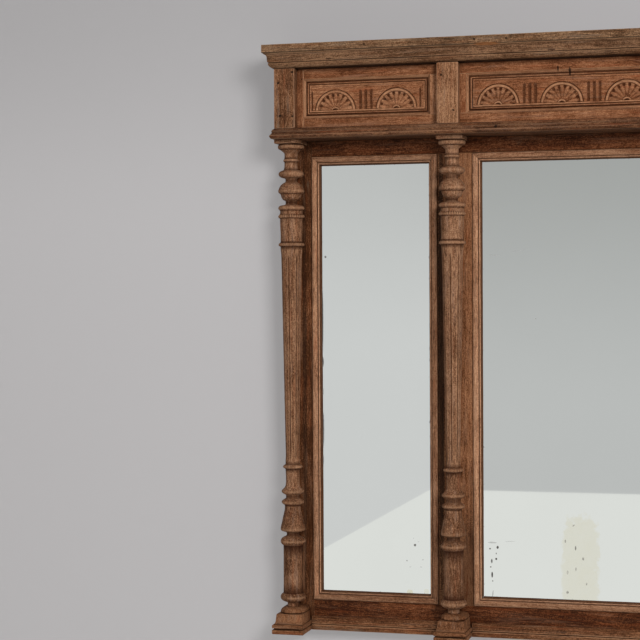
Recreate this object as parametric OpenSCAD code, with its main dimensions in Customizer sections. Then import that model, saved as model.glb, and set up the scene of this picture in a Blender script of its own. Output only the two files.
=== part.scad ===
// Wall-hung triptych mirror in carved oak: four turned columns, three panes, a panelled frieze and a cornice.
// Millimetres. X runs along the mirror, Y into the wall (the back is at Y 0, the front faces -Y), Z up.
// The origin is the middle of the lower edge of the back.

/* [Whole mirror] */
// Height from the feet to the top of the cornice
overall_h = 1100; // [1000:1:1300]
// Distance between the two columns of a side bay
side_bay = 308; // [290:1:360]
// Distance between the two columns of the centre bay
centre_bay = 640; // [600:1:700]

/* [Back frame] */
// Thickness of the stiles and rails
frame_t = 28; // [26:0.5:36]
// Half the width of an inner stile, from the column's axis to the glass moulding
stile_half = 33; // [31:0.5:36]
// How far an outer stile reaches outside the column's axis
stile_out = 15.5; // [12:0.5:19]
// Height of the bottom rail
bottom_rail_h = 57; // [52:1:70]
// Height of the top rail below the ledge
top_rail_h = 29.5; // [26:0.5:40]
// Height of the rail at the top of the back, up to the crown moulding
head_rail_h = 57; // [40:1:70]
// Thickness of the tenons
tenon_t = 9; // [7:0.5:10]
// Length of the tenons
tenon_l = 16; // [12:0.5:17]
// Play round a tenon in its mortise
tenon_play = 0.15; // [0.1:0.05:0.3]

/* [Columns] */
// Distance of the column's axis in front of the frame
column_offset = 27; // [26:0.5:32]
// Radius of the shaft at its foot
shaft_r_low = 13; // [12:0.1:15]
// Radius of the shaft at its top
shaft_r_top = 20.1; // [19:0.1:22]
// Number of flutes round the shaft
flute_count = 8; // [6:1:12]
// Radius of the gouge that cut the flutes
flute_r = 1.8; // [1.5:0.1:3]
// Depth of the flutes
flute_depth = 1.4; // [0.8:0.1:2.4]
// Plain length of shaft left at each end of the flutes
flute_end = 12; // [8:1:60]
// Radius of the necks between the turned rings
neck_r = 11; // [10:0.1:12.3]
// Height of such a neck
neck_h = 8; // [6:0.1:9]

/* [Foot of a column] */
// Height of the neck that stands on the base
foot_neck_h = 5.5; // [4:0.1:7]
// Radius of the two tori
torus_r = 23.3; // [22.5:0.1:25]
// Height of a torus
torus_h = 18; // [16:0.1:20]
// Radius of the drum between the tori
drum_low_r = 18.1; // [17:0.1:20]
// Height of that drum
drum_low_h = 92.5; // [80:0.5:100]
// Height of the bell over the upper torus
bell_h = 48; // [40:0.5:54]
// Radius of the bell's top
bell_top_r = 15.2; // [14.5:0.1:17]
// Height of the bell's rounded lower edge
bell_edge_h = 2.5; // [2:0.1:3.5]
// Radius of the two flanges over the bell
flange_r = 20.9; // [20:0.1:23]
// Height of a flange
flange_h = 13.5; // [11:0.1:15]
// Gap between the flanges
flange_gap = 4.7; // [3:0.1:6]
// Radius of the stem over the flanges
stem_r = 12.6; // [12:0.1:14.5]
// Height of the stem
stem_h = 36.8; // [30:0.1:44]
// Radius of the thin collar under the shaft
collar_r = 18.3; // [17.5:0.1:20]
// Height of that collar
collar_h = 7.5; // [5:0.1:8.5]

/* [Head of a column] */
// Radius of the astragal over the shaft, the notched ring and the flange
head_ring_r = 24.6; // [23.5:0.1:26.9]
// Height of the astragal
astragal_h = 6.5; // [5:0.1:8]
// Radius of the drum over the astragal
drum_top_r = 20.9; // [20.3:0.1:22.5]
// Height of that drum
drum_top_h = 46.9; // [40:0.1:52]
// Height of the notched ring
notch_ring_h = 5.6; // [5:0.1:7]
// Height of the plain band over it
band_h = 9; // [7:0.1:10]
// Height of the flange over the band
head_flange_h = 10.5; // [9:0.1:12]
// Radius of the urn
urn_r = 24.8; // [24:0.1:26.9]
// Height of the urn's cup
urn_cup_h = 12.8; // [11:0.1:15]
// Height of the urn's ball
urn_ball_h = 20.3; // [18:0.1:23]
// Radius of the disc over the urn
disc_r = 23.6; // [22.5:0.1:25.5]
// Height of that disc
disc_h = 14; // [12:0.1:20]
// Radius of the upper neck
top_neck_r = 12.4; // [12:0.1:14]
// Height of the upper neck below its bead
top_neck_h = 17.7; // [12:0.1:19]
// Radius of the bead
bead_r = 14.5; // [14.1:0.1:17]
// Height of the bead
bead_h = 5; // [4:0.1:6]
// Height of the upper neck over its bead
throat_h = 12.2; // [8:0.1:14]
// Radius of the round cushion under the abacus
cushion_r = 24.9; // [24:0.1:26.9]
// Height of the cushion's lower tier
cushion_low_h = 5; // [4:0.1:9]
// Height of the cushion's upper tier
cushion_top_h = 11; // [9:0.1:13]

/* [Dowels] */
// Radius of the dowels turned on both ends
dowel_r = 7; // [5:0.1:8]
// Length of those dowels
dowel_l = 14; // [12:0.5:16]
// Radial play of a dowel in its hole
dowel_play = 0.08; // [0.05:0.01:0.1]

/* [Column bases] */
// Height of a base
base_h = 47; // [46:0.5:56]
// Half the width of the base's skirt
skirt_half = 30; // [28:0.5:33]
// How far the skirt stands in front of the frame
skirt_front = 70; // [66:0.5:76]
// Half the width of the die, the plain block under the column
die_half = 24.3; // [23:0.1:26]
// How far the die stands in front of the frame
die_front = 57; // [54:0.5:60]
// Height of the rounded cap on top of the die
base_torus_h = 11; // [9:0.5:13]

/* [Abaci] */
// Height of the square plate over a column
abacus_h = 7; // [5:0.5:10]
// Half the width of that plate
abacus_half = 24.2; // [23:0.1:26]
// How far that plate stands in front of the frame
abacus_front = 58; // [55:0.5:60]

/* [Foot mouldings] */
// Height of the moulding along the bottom rail
foot_h = 26; // [22:0.5:34]
// How far that moulding stands in front of the frame
foot_front = 8.5; // [6:0.5:12]

/* [Ledge] */
// Height of the ledge over the columns
ledge_h = 19.5; // [18:0.5:26]
// How far the ledge's nose stands outside the frieze blocks
ledge_nose = 7.8; // [6:0.1:10]
// Thickness of the moulded strip behind that line
ledge_strip = 8; // [6:0.5:12]

/* [Frieze] */
// Height of the frieze
frieze_h = 111; // [105:1:125]
// Distance of the frieze's face in front of the frame
frieze_front = 53; // [50:0.5:58]
// Thickness of the frieze's rails and stiles
frieze_t = 20; // [18:0.5:24]
// Height of the frieze's two rails
frieze_rail_h = 19.5; // [16:0.5:21]
// Thickness of the frieze's end boards
frieze_end_t = 15; // [12:0.5:18]
// Half the width of a frieze block
block_half = 19.6; // [18:0.1:21]
// How far a frieze block stands proud of the frieze
block_proud = 19; // [15:0.5:22]
// Frieze stile that shows beside a block in a side bay
side_margin = 14.5; // [12:0.5:18]
// Frieze stile that shows beside a block in the centre bay
centre_margin = 12.5; // [11:0.5:19]
// How far a side bay's panel stands off the middle of its bay, towards the end
panel_shift = 1.6; // [0:0.1:4]
// Width of the moulded frame round a carved panel
bead_w = 10; // [9.5:0.5:12]
// Depth of the moulded frame, down to the panel's tongue
bead_d = 8.5; // [8:0.5:10]
// Depth of the carved field below the frieze's face
field_sink = 5.5; // [4:0.5:6]
// Thickness of the panel's tongue behind the moulded frame
panel_tongue = 7.5; // [5:0.5:9]

/* [Carving] */
// Outer radius of a half rosette
lunette_r = 39.5; // [34:0.5:41]
// Width of the ring round a half rosette
lunette_ring = 3.6; // [2.5:0.1:5]
// Depth of the carving
carve_d = 2.4; // [1:0.1:2.6]
// Distance between two half rosettes in a side bay
lunette_pitch_side = 116; // [112:0.5:118]
// Distance between two half rosettes in the centre bay
lunette_pitch_centre = 115.5; // [112:0.5:117]
// Number of half rosettes in the centre bay
lunettes_centre = 5; // [3:1:5]
// Number of petals in a half rosette
petals = 9; // [5:1:9]
// Distance between the three short flutes that part the half rosettes
slot_pitch = 10.2; // [9:0.1:11]
// Width of such a flute
slot_w = 5; // [3:0.1:6]

/* [Cornice] */
// Thickness of the board on top
cornice_t = 15; // [12:0.5:22]
// How far that board stands outside the frieze blocks
cornice_over = 19; // [16:0.5:24]
// Height of the crown moulding under it
crown_h = 28; // [24:0.5:34]
// How far the crown moulding laps over the frieze's rails
crown_lap = 5; // [3:0.5:12]

/* [Glass mouldings and panes] */
// Width of the moulding round a pane
glass_bead_w = 17; // [15:0.5:20]
// How far that moulding stands proud of the frame
glass_bead_proud = 4.6; // [3:0.1:6]
// Depth of the pane's face behind the frame's face
glass_sink = 8; // [6:0.5:9]
// Width of the lip that covers the pane's edge
glass_lip = 7; // [5:0.5:8]
// Thickness of the mirror panes
glass_t = 4; // [3:0.5:5]
// Play between a pane and its rebate
glass_play = 0.4; // [0.3:0.1:0.8]
// Play of a moulding in the frame, and of a mitre
joint_play = 0.15; // [0.1:0.05:0.25]

/* [Back] */
// Thickness of the backboards
backboard_t = 8; // [5:0.5:9]
// Play of a backboard between the stiles
backboard_play = 0.5; // [0.3:0.1:0.9]
// Width of the strips nailed behind a backboard
strip_w = 12; // [9:0.5:16]
// Side of the glue blocks in the frieze box
glue_block = 26; // [18:1:32]

/* [Hangers] */
// Height of the hanging eyes below the top of the cornice
hanger_drop = 300; // [290:1:400]
// Width of a hanger's plate
plate_w = 26; // [24:0.5:28]
// Height of a hanger's plate
plate_h = 44; // [42:0.5:46]
// Thickness of a hanger's plate
plate_t = 1.5; // [1:0.1:2]
// Radius of the ring's wire
wire_r = 1.75; // [1.5:0.05:1.9]
// Radius of the ring, to the middle of its wire
hang_ring_r = 11; // [10:0.1:11.5]
// Thickness of the eye
eye_t = 3; // [2:0.1:3.5]
// Radial play of the ring in its eye
eye_play = 0.25; // [0.2:0.01:0.3]
// Radius of the hanger screws
screw_r = 1.75; // [1.5:0.05:2]
// Length of the hanger screws
screw_l = 14; // [10:0.5:15]
// Radial play of a screw in its hole
screw_play = 0.05; // [0.03:0.01:0.1]
// Room between a hanger and its pocket
pocket_play = 3; // [2.5:0.5:4]

/* [Hidden] */
$fn = 48;

// Colours of the weathered oak, from the greyer cornice to the redder frieze
oak = [0.43, 0.30, 0.21];
oak_red = [0.47, 0.29, 0.19];
oak_grey = [0.42, 0.33, 0.25];
pine = [0.62, 0.49, 0.34];
silver = [0.78, 0.80, 0.80];
iron = [0.30, 0.29, 0.28];

// Columns, left to right, and the three bays
column_x = [-centre_bay / 2 - side_bay, -centre_bay / 2, centre_bay / 2, centre_bay / 2 + side_bay];
bay_x = [-(centre_bay + side_bay) / 2, 0, (centre_bay + side_bay) / 2];
bay_w = [side_bay, centre_bay, side_bay];
panel_x = [bay_x[0] - panel_shift, 0, bay_x[2] + panel_shift];
carcass_x = column_x[3] + block_half;
stile_x = column_x[3] + stile_out;

// Heights
cornice_z = overall_h - cornice_t;
crown_z = cornice_z - crown_h;
frieze_z = crown_z - frieze_h;
ledge_z = frieze_z - ledge_h;
abacus_z = ledge_z - abacus_h;
column_h = abacus_z - base_h;
opening_z = ledge_z - top_rail_h;
opening_h = opening_z - bottom_rail_h;

// Depths
face_y = -frame_t;
axis_y = face_y - column_offset;
frieze_y = face_y - frieze_front;
block_y = frieze_y - block_proud;
field_z = frieze_z + frieze_rail_h + bead_w;
field_h = frieze_h - 2 * frieze_rail_h - 2 * bead_w;
panel_h = frieze_h - 2 * frieze_rail_h;
over = 1; // how far a cutter runs past the face it cuts

// Turned forms, from the bottom up. A plain step is [height, radius at its foot, radius at its top].
// A swelling step is [height, radius at its foot, widest radius, radius at its top, where it is widest].
arc_steps = 6;
function swell(r0, r, r1, z0, zm, z1) = concat(
    [for (i = [0 : arc_steps]) let (a = 90 * i / arc_steps) [r0 + (r - r0) * sin(a), zm - (zm - z0) * cos(a)]],
    [for (i = [1 : arc_steps]) let (a = 90 - 90 * i / arc_steps) [r1 + (r - r1) * sin(a), zm + (z1 - zm) * cos(a)]]
);
function step_points(step, z) = len(step) == 3
    ? [[step[1], z], [step[2], z + step[0]]]
    : swell(step[1], step[2], step[3], z, z + step[4] * step[0], z + step[0]);
function turned(steps, z, i = 0) = i == len(steps)
    ? []
    : concat(step_points(steps[i], z), turned(steps, z + steps[i][0], i + 1));
function height(steps, i = 0) = i == len(steps) ? 0 : steps[i][0] + height(steps, i + 1);

// The foot of a column, up to the collar under the shaft
waist_r = (torus_r + bell_top_r) / 2;
foot_steps = [
    [foot_neck_h, neck_r, neck_r],
    [torus_h, neck_r, torus_r, drum_low_r, 0.5],
    [drum_low_h, drum_low_r, drum_low_r],
    [torus_h, drum_low_r, torus_r, neck_r, 0.5],
    [neck_h, neck_r, neck_r],
    [bell_edge_h, torus_r - bell_edge_h / 2, torus_r],
    [bell_h * 0.42, torus_r, waist_r],
    [bell_h * 0.58, waist_r, bell_top_r],
    [flange_h, bell_top_r, flange_r, top_neck_r, 0.5],
    [flange_gap, top_neck_r, top_neck_r],
    [flange_h, top_neck_r, flange_r, stem_r, 0.6],
    [stem_h, stem_r, stem_r],
    [collar_h, stem_r, collar_r, shaft_r_low, 0.5]
];
// The head of a column, from the astragal over the shaft to the cushion under the abacus
head_steps = [
    [astragal_h, shaft_r_top, head_ring_r, drum_top_r, 0.5],
    [drum_top_h, drum_top_r, drum_top_r],
    [notch_ring_h, drum_top_r, head_ring_r, drum_top_r, 0.5],
    [band_h, drum_top_r, drum_top_r],
    [head_flange_h, drum_top_r, head_ring_r, neck_r, 0.5],
    [neck_h, neck_r, neck_r],
    [urn_cup_h, neck_r, urn_r * 0.78, urn_r * 0.8, 0.7],
    [urn_ball_h, urn_r * 0.88, urn_r, neck_r, 0.2],
    [neck_h, neck_r, neck_r],
    [disc_h, neck_r, disc_r, top_neck_r, 0.6],
    [top_neck_h, top_neck_r, top_neck_r],
    [bead_h, top_neck_r, bead_r, top_neck_r, 0.5],
    [throat_h, top_neck_r, top_neck_r],
    [cushion_low_h, top_neck_r, cushion_r * 0.73, cushion_r * 0.74, 0.7],
    [cushion_top_h, cushion_r * 0.8, cushion_r, cushion_r * 0.88, 0.5]
];
shaft_z = height(foot_steps);
shaft_h = column_h - shaft_z - height(head_steps);

// Mitred lengths. profile holds points [distance inwards from the outer edge, distance forwards].
// The four lengths make a frame of w by h in the plane of the mirror, centred on the origin.
module mitred_length(length, profile, width, deep) {
    intersection() {
        rotate([90, 0, 90]) linear_extrude(length) polygon([for (p = profile) [-p[1], p[0]]]);
        translate([0, deep, 0]) rotate([90, 0, 0]) linear_extrude(2 * deep)
            polygon([[joint_play, 0], [length - joint_play, 0], [length - width - joint_play, width],
                [width + joint_play, width]]);
    }
}
module mitred_frame(w, h, profile, width, deep) {
    translate([-w / 2, 0, -h / 2]) mitred_length(w, profile, width, deep);
    translate([w / 2, 0, h / 2]) rotate([0, 180, 0]) mitred_length(w, profile, width, deep);
    translate([-w / 2, 0, h / 2]) rotate([0, 90, 0]) mitred_length(h, profile, width, deep);
    translate([w / 2, 0, -h / 2]) rotate([0, -90, 0]) mitred_length(h, profile, width, deep);
}

// A moulding that runs across the front and back along both ends, mitred at the corners.
// profile holds points [distance outside the frieze blocks, height].
module front_run(profile, z, h, strip, reach) {
    outer_x = carcass_x + reach - joint_play;
    inner_x = carcass_x - strip - joint_play;
    intersection() {
        translate([-outer_x, block_y, z]) rotate([90, 0, 90]) linear_extrude(2 * outer_x)
            polygon([for (p = profile) [-p[0], p[1]]]);
        translate([0, 0, z - over]) linear_extrude(h + 2 * over)
            polygon([[-outer_x, block_y - reach], [outer_x, block_y - reach],
                [inner_x, block_y + strip], [-inner_x, block_y + strip]]);
    }
}
module end_run(profile, z, h, strip, reach) {
    intersection() {
        translate([carcass_x, 0, z]) rotate([90, 0, 0]) linear_extrude(reach - block_y) polygon(profile);
        translate([0, 0, z - over]) linear_extrude(h + 2 * over)
            polygon([[carcass_x + reach, block_y - reach], [carcass_x + reach, over],
                [carcass_x - strip, over], [carcass_x - strip, block_y + strip]]);
    }
}
module end_runs(profile, z, h, strip, reach) {
    end_run(profile, z, h, strip, reach);
    mirror([1, 0, 0]) end_run(profile, z, h, strip, reach);
}

// Cornice
crown_strip = block_proud + crown_lap;
crown_profile = [
    [-crown_strip, 0], [0, 0], [3.6, 1], [6.8, 3.4], [8.8, 6.2], [9.4, 8.8], [8.4, 9.6], [8.4, 10.8], [10.2, 11.4],
    [11, 21.4], [12.4, 24], [14.8, 25.6], [16.6, crown_h - 1.4], [16.6, crown_h], [-crown_strip, crown_h]
];
module cornice_top() {
    color(oak_grey) translate([-carcass_x - cornice_over, block_y - cornice_over, cornice_z])
        cube([2 * (carcass_x + cornice_over), cornice_over - block_y, cornice_t]);
}
module crown_front() {
    color(oak_grey) front_run(crown_profile, crown_z, crown_h, crown_strip, cornice_over);
}
module crown_returns() {
    color(oak_grey) end_runs(crown_profile, crown_z, crown_h, crown_strip, cornice_over);
}

// Frieze
margins = [side_margin, centre_margin, side_margin];
function panel_w(bay) = bay_w[bay] - 2 * block_half - 2 * margins[bay];
module frieze_rail(z) {
    length = 2 * (carcass_x - 2 * block_half - side_margin + panel_shift);
    color(oak_red) translate([-length / 2, frieze_y, z]) cube([length, frieze_t, frieze_rail_h]);
}
module frieze_outer_stile(side) {
    width = 2 * block_half + side_margin - panel_shift;
    color(oak_red) translate([side > 0 ? carcass_x - width : -carcass_x, frieze_y, frieze_z])
        cube([width, frieze_t, frieze_h]);
}
module frieze_inner_stile(side) {
    x0 = centre_bay / 2 - block_half - centre_margin;
    width = 2 * block_half + side_margin + panel_shift + centre_margin;
    color(oak_red) translate([side > 0 ? x0 : -x0 - width, frieze_y, frieze_z + frieze_rail_h])
        cube([width, frieze_t, panel_h]);
}
module frieze_ends() {
    for (side = [-1, 1]) {
        color(oak_grey) translate([side > 0 ? carcass_x - frieze_end_t : -carcass_x, frieze_y + frieze_t, frieze_z])
            cube([frieze_end_t, -frieze_y - frieze_t, frieze_h]);
    }
}
module frieze_block(i) {
    color(oak_red) translate([column_x[i] - block_half, block_y, frieze_z])
        cube([2 * block_half, block_proud, frieze_h]);
}

// A carved field: half rosettes, each with a ring, petals and a boss, parted by three short flutes
function lunette_x(bay) = bay == 1
    ? [for (i = [0 : lunettes_centre - 1]) (i - (lunettes_centre - 1) / 2) * lunette_pitch_centre]
    : [-lunette_pitch_side / 2, lunette_pitch_side / 2];
lunette_foot = 3; // plain strip under the carving
petal_r = 4.4;
boss_r = 8.5;
module half_plane() {
    translate([-lunette_r - over, 0]) square([2 * (lunette_r + over), lunette_r + over]);
}
module rosette_hollow() {
    groove = 1.6;
    difference() {
        intersection() {
            circle(lunette_r);
            half_plane();
        }
        circle(lunette_r - groove);
    }
    difference() {
        intersection() {
            circle(lunette_r - lunette_ring - groove);
            half_plane();
        }
        circle(boss_r);
        for (k = [0 : petals - 1]) {
            a = 180 * (k + 0.5) / petals;
            rotate(a) translate([lunette_r - lunette_ring - groove - petal_r - 1.5, 0]) circle(petal_r);
            rotate(a) translate([boss_r + 2.5, -1.6]) square([lunette_r - boss_r - lunette_ring - 2 * petal_r, 3.2]);
        }
    }
}
module short_flute() {
    height = field_h - 2 * lunette_foot - slot_w / 2 - 7;
    translate([-slot_w / 2, 0]) square([slot_w, height]);
    translate([0, height]) circle(slot_w / 2);
}
module frieze_panel(bay) {
    w = panel_w(bay);
    field_w = w - 2 * bead_w;
    xs = lunette_x(bay);
    color(oak_red) translate([panel_x[bay], frieze_y, 0]) difference() {
        union() {
            translate([-w / 2 + joint_play, bead_d, field_z - bead_w + joint_play])
                cube([w - 2 * joint_play, panel_tongue, panel_h - 2 * joint_play]);
            translate([-field_w / 2 + joint_play, field_sink, field_z + joint_play])
                cube([field_w - 2 * joint_play, bead_d, field_h - 2 * joint_play]);
        }
        translate([0, field_sink + carve_d, field_z + lunette_foot]) rotate([90, 0, 0])
            linear_extrude(carve_d + over) {
                for (x = xs) translate([x, 0]) rosette_hollow();
                for (i = [0 : len(xs) - 2]) for (k = [-1 : 1])
                    translate([(xs[i] + xs[i + 1]) / 2 + k * slot_pitch, 0]) short_flute();
            }
    }
}
panel_bead_profile = [
    [0, 0], [0.5, 0], [0.8, -1], [2.2, -2.2], [3.4, -4], [4.1, -6.4], [5.7, -6.6], [6.2, -4.2], [7.2, -3.4],
    [8.3, -3.6], [9, -4.8], [9.3, -6.2], [bead_w, -6.2], [bead_w, -bead_d], [0, -bead_d]
];
module panel_bead(bay) {
    color(oak_red) translate([panel_x[bay], frieze_y, field_z + field_h / 2])
        mitred_frame(panel_w(bay), panel_h, panel_bead_profile, bead_w, bead_d + over);
}
module glue_blocks() {
    x_end = carcass_x - frieze_end_t;
    y0 = frieze_y + frieze_t;
    for (x = [-x_end, -centre_bay / 2, -glue_block / 2, centre_bay / 2 - glue_block, x_end - glue_block]) {
        color(pine) translate([x, y0, frieze_z]) rotate([90, 0, 90]) linear_extrude(glue_block)
            polygon([[0, 0], [glue_block * 0.8, 0], [0, glue_block * 0.8]]);
    }
}

// Ledge over the columns
ledge_profile = [
    [-ledge_strip, 0], [5, 0], [6.4, 1.2], [ledge_nose, 3.6], [ledge_nose, 6.2], [6.2, 7.8], [4.6, 9.8],
    [3.8, 12], [4.6, 12.8], [4.4, 14.6], [3, ledge_h - 2.4], [0.8, ledge_h - 0.6], [0, ledge_h],
    [-ledge_strip, ledge_h]
];
module ledge_board() {
    inner_x = carcass_x - ledge_strip;
    color(oak) difference() {
        translate([-inner_x, block_y + ledge_strip, ledge_z])
            cube([2 * inner_x, -block_y - ledge_strip, ledge_h]);
        for (x = column_x) translate([x, axis_y, ledge_z - over])
            cylinder(r = dowel_r + dowel_play, h = over + dowel_l - abacus_h + 1);
        for (side = [-1, 1]) stile_tenon(side, tenon_play);
    }
}
module ledge_front() {
    color(oak) front_run(ledge_profile, ledge_z, ledge_h, ledge_strip, ledge_nose);
}
module ledge_returns() {
    color(oak) end_runs(ledge_profile, ledge_z, ledge_h, ledge_strip, ledge_nose);
}

// Columns, their bases and the plates over them
module abacus(i) {
    color(oak) difference() {
        translate([column_x[i] - abacus_half, face_y - abacus_front, abacus_z])
            cube([2 * abacus_half, abacus_front, abacus_h]);
        translate([column_x[i], axis_y, abacus_z - over])
            cylinder(r = dowel_r + dowel_play, h = abacus_h + 2 * over);
    }
}
module gouge(length) {
    tip = 1.4 * flute_r;
    rotate_extrude() polygon([[0, -tip], [0.3 * flute_r, -tip], [flute_r, 0], [flute_r, length],
        [0.3 * flute_r, length + tip], [0, length + tip]]);
}
module flutes() {
    slope = (shaft_r_top - shaft_r_low) / shaft_h;
    for (k = [0 : flute_count - 1]) {
        rotate(360 * k / flute_count)
            translate([shaft_r_low + slope * flute_end + flute_r - flute_depth, 0, shaft_z + flute_end])
                rotate([0, atan(slope), 0]) gouge((shaft_h - 2 * flute_end) / cos(atan(slope)));
    }
}
module column(i) {
    outline = concat([[0, 0]], turned(foot_steps, 0), turned(head_steps, shaft_z + shaft_h), [[0, column_h]]);
    color(oak) translate([column_x[i], axis_y, base_h]) {
        difference() {
            rotate_extrude() polygon(outline);
            flutes();
        }
        translate([0, 0, -dowel_l]) cylinder(r = dowel_r, h = dowel_l + over);
        translate([0, 0, column_h - over]) cylinder(r = dowel_r, h = dowel_l + over);
    }
}
// The base's mouldings: [share of the skirt's overhang, height]
skirt_profile = [
    [0.85, 0], [1, 1.5], [1, 8], [0.6, 9], [0.56, 10.4], [1, 11.4], [1, 16.6], [0.8, 18], [0.42, 19.6], [0.26, 22.6]
];
module base(i) {
    die_top = base_h - base_torus_h;
    side_over = skirt_half - die_half;
    front_over = skirt_front - die_front;
    front_view = concat([for (p = skirt_profile) [die_half + side_over * p[0], p[1]]], [[die_half, die_top]]);
    side_view = concat([for (p = skirt_profile) [die_front + front_over * p[0], p[1]]], [[die_front, die_top]]);
    color(oak) translate([column_x[i], face_y, 0]) difference() {
        union() {
            intersection() {
                rotate([90, 0, 0]) linear_extrude(skirt_front + over)
                    polygon(concat(front_view, [for (k = [len(front_view) - 1 : -1 : 0])
                        [-front_view[k][0], front_view[k][1]]]));
                translate([-skirt_half - over, 0, 0]) rotate([90, 0, 90]) linear_extrude(2 * (skirt_half + over))
                    polygon(concat([[0, 0]], [for (p = side_view) [-p[0], p[1]]], [[0, die_top]]));
            }
            rounded = swell(torus_r - 2, torus_r + 0.8, neck_r, 0, base_torus_h * 0.2, base_torus_h);
            translate([0, -column_offset, die_top]) rotate_extrude() polygon(concat([[0, 0]], rounded,
                [[0, base_torus_h]]));
            rotate([90, 0, 0]) translate([0, die_top, 0]) linear_extrude(column_offset)
                polygon(concat(rounded, [for (k = [len(rounded) - 1 : -1 : 0]) [-rounded[k][0], rounded[k][1]]]));
        }
        translate([0, -column_offset, base_h - dowel_l - 1])
            cylinder(r = dowel_r + dowel_play, h = dowel_l + 1 + over);
    }
}

// Back frame. The rails run between the outer stiles, the inner stiles between the rails.
module stile_tenon(side, play) {
    mid = column_x[3] + (stile_half * -1 + stile_out) / 2;
    translate([side * mid - 12 - play, face_y / 2 - tenon_t / 2 - play, ledge_z - over])
        cube([24 + 2 * play, tenon_t + 2 * play, over + 12 + play]);
}
module rail_tenons(z, h, play) {
    reach = column_x[3] - stile_half + tenon_l + play;
    translate([-reach, face_y / 2 - tenon_t / 2 - play, z + h / 2 - 10 - play])
        cube([2 * reach, tenon_t + 2 * play, 20 + 2 * play]);
}
module inner_stile_tenons(side, play) {
    translate([side * centre_bay / 2 - 20 - play, face_y / 2 - tenon_t / 2 - play,
        bottom_rail_h - tenon_l - play])
        cube([40 + 2 * play, tenon_t + 2 * play, opening_h + 2 * tenon_l + 2 * play]);
}
eye_r = wire_r + eye_play + 1.8; // outer radius of the eye
eye_height = eye_r + 1; // of the eye's middle over the plate
pocket_d = plate_t + eye_height + eye_r + 0.4;
eye_y = eye_height + plate_t - pocket_d;
hanger_x = column_x[3] + (stile_out - stile_half) / 2;
hanger_z = overall_h - hanger_drop;
screw_dx = plate_w / 2 - 5;
screw_dz = plate_h / 2 - 6;
module at_screws(side) {
    for (dx = [-screw_dx, screw_dx]) for (dz = [-screw_dz, screw_dz])
        translate([side * hanger_x + dx, -pocket_d + plate_t, hanger_z + dz]) rotate([90, 0, 0]) children();
}
module outer_stile(side) {
    x0 = side > 0 ? column_x[3] - stile_half : -stile_x;
    pocket_w = plate_w + 2 * pocket_play;
    pocket_h = plate_h + 4 * pocket_play;
    color(oak) difference() {
        union() {
            translate([x0, face_y, 0]) cube([stile_half + stile_out, frame_t, ledge_z]);
            stile_tenon(side, 0);
        }
        rail_tenons(0, bottom_rail_h, tenon_play);
        rail_tenons(opening_z, top_rail_h, tenon_play);
        translate([side * hanger_x - pocket_w / 2, -pocket_d, hanger_z - pocket_h / 2])
            cube([pocket_w, pocket_d + over, pocket_h]);
        at_screws(side) cylinder(r = screw_r + screw_play, h = screw_l + 0.5);
    }
}
module inner_stile(side) {
    color(oak) {
        translate([side * centre_bay / 2 - stile_half, face_y, bottom_rail_h])
            cube([2 * stile_half, frame_t, opening_h]);
        inner_stile_tenons(side, 0);
    }
}
module rail(z, h) {
    length = 2 * (column_x[3] - stile_half);
    color(oak) difference() {
        union() {
            translate([-length / 2, face_y, z]) cube([length, frame_t, h]);
            rail_tenons(z, h, 0);
        }
        for (side = [-1, 1]) inner_stile_tenons(side, tenon_play);
    }
}
module head_rail() {
    low_x = carcass_x - frieze_end_t;
    high_x = carcass_x - crown_strip;
    color(oak) {
        translate([-low_x, face_y, crown_z - head_rail_h]) cube([2 * low_x, frame_t, head_rail_h]);
        translate([-high_x, face_y, crown_z]) cube([2 * high_x, frame_t, crown_h]);
    }
}
foot_profile = [
    [0, 0], [foot_front - 1, 0], [foot_front - 0.4, 2], [foot_front, 6], [foot_front - 0.6, 9.4],
    [foot_front - 2.6, 10.8], [foot_front - 0.6, 12.2], [foot_front - 0.4, 17], [foot_front - 1.6, 20.6],
    [foot_front - 4, 23.4], [2.2, foot_h - 1], [0, foot_h]
];
module foot_moulding(bay) {
    ends = [bay == 0 ? column_x[0] : column_x[bay], bay == 2 ? column_x[3] : column_x[bay + 1]];
    x0 = ends[0] + skirt_half;
    x1 = ends[1] - skirt_half;
    color(oak) translate([x0, face_y, 0]) rotate([90, 0, 90]) linear_extrude(x1 - x0)
        mirror([1, 0]) polygon(foot_profile);
}

// Panes, their mouldings and backs
opening_w = [side_bay - 2 * stile_half, centre_bay - 2 * stile_half, side_bay - 2 * stile_half];
glass_profile = [
    [0, glass_bead_proud - 2.6], [0.7, glass_bead_proud - 0.9], [2.2, glass_bead_proud],
    [8.6, glass_bead_proud], [10.4, glass_bead_proud - 0.7], [11.2, glass_bead_proud - 2.6],
    [11.9, glass_bead_proud - 2.6], [12.3, glass_bead_proud - 1.5], [13.2, glass_bead_proud - 0.9],
    [14.2, glass_bead_proud - 1.3], [14.9, glass_bead_proud - 2.6], [15.3, glass_bead_proud - 4.8],
    [glass_bead_w - 0.8, -5], [glass_bead_w, -6], [glass_bead_w, -glass_sink],
    [glass_bead_w - glass_lip, -glass_sink], [glass_bead_w - glass_lip, -glass_sink - glass_t],
    [0, -glass_sink - glass_t]
];
module glass_frame(bay) {
    color(oak) translate([bay_x[bay], face_y, bottom_rail_h + opening_h / 2])
        mitred_frame(opening_w[bay] - 2 * joint_play, opening_h - 2 * joint_play, glass_profile,
            glass_bead_w, glass_sink + glass_t + over);
}
module mirror_pane(bay) {
    covered = 2 * (glass_bead_w - glass_lip + glass_play + joint_play);
    w = opening_w[bay] - covered;
    h = opening_h - covered;
    color(silver) translate([bay_x[bay] - w / 2, face_y + glass_sink, bottom_rail_h + (opening_h - h) / 2])
        cube([w, glass_t, h]);
}
board_y = face_y + glass_sink + glass_t;
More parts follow.
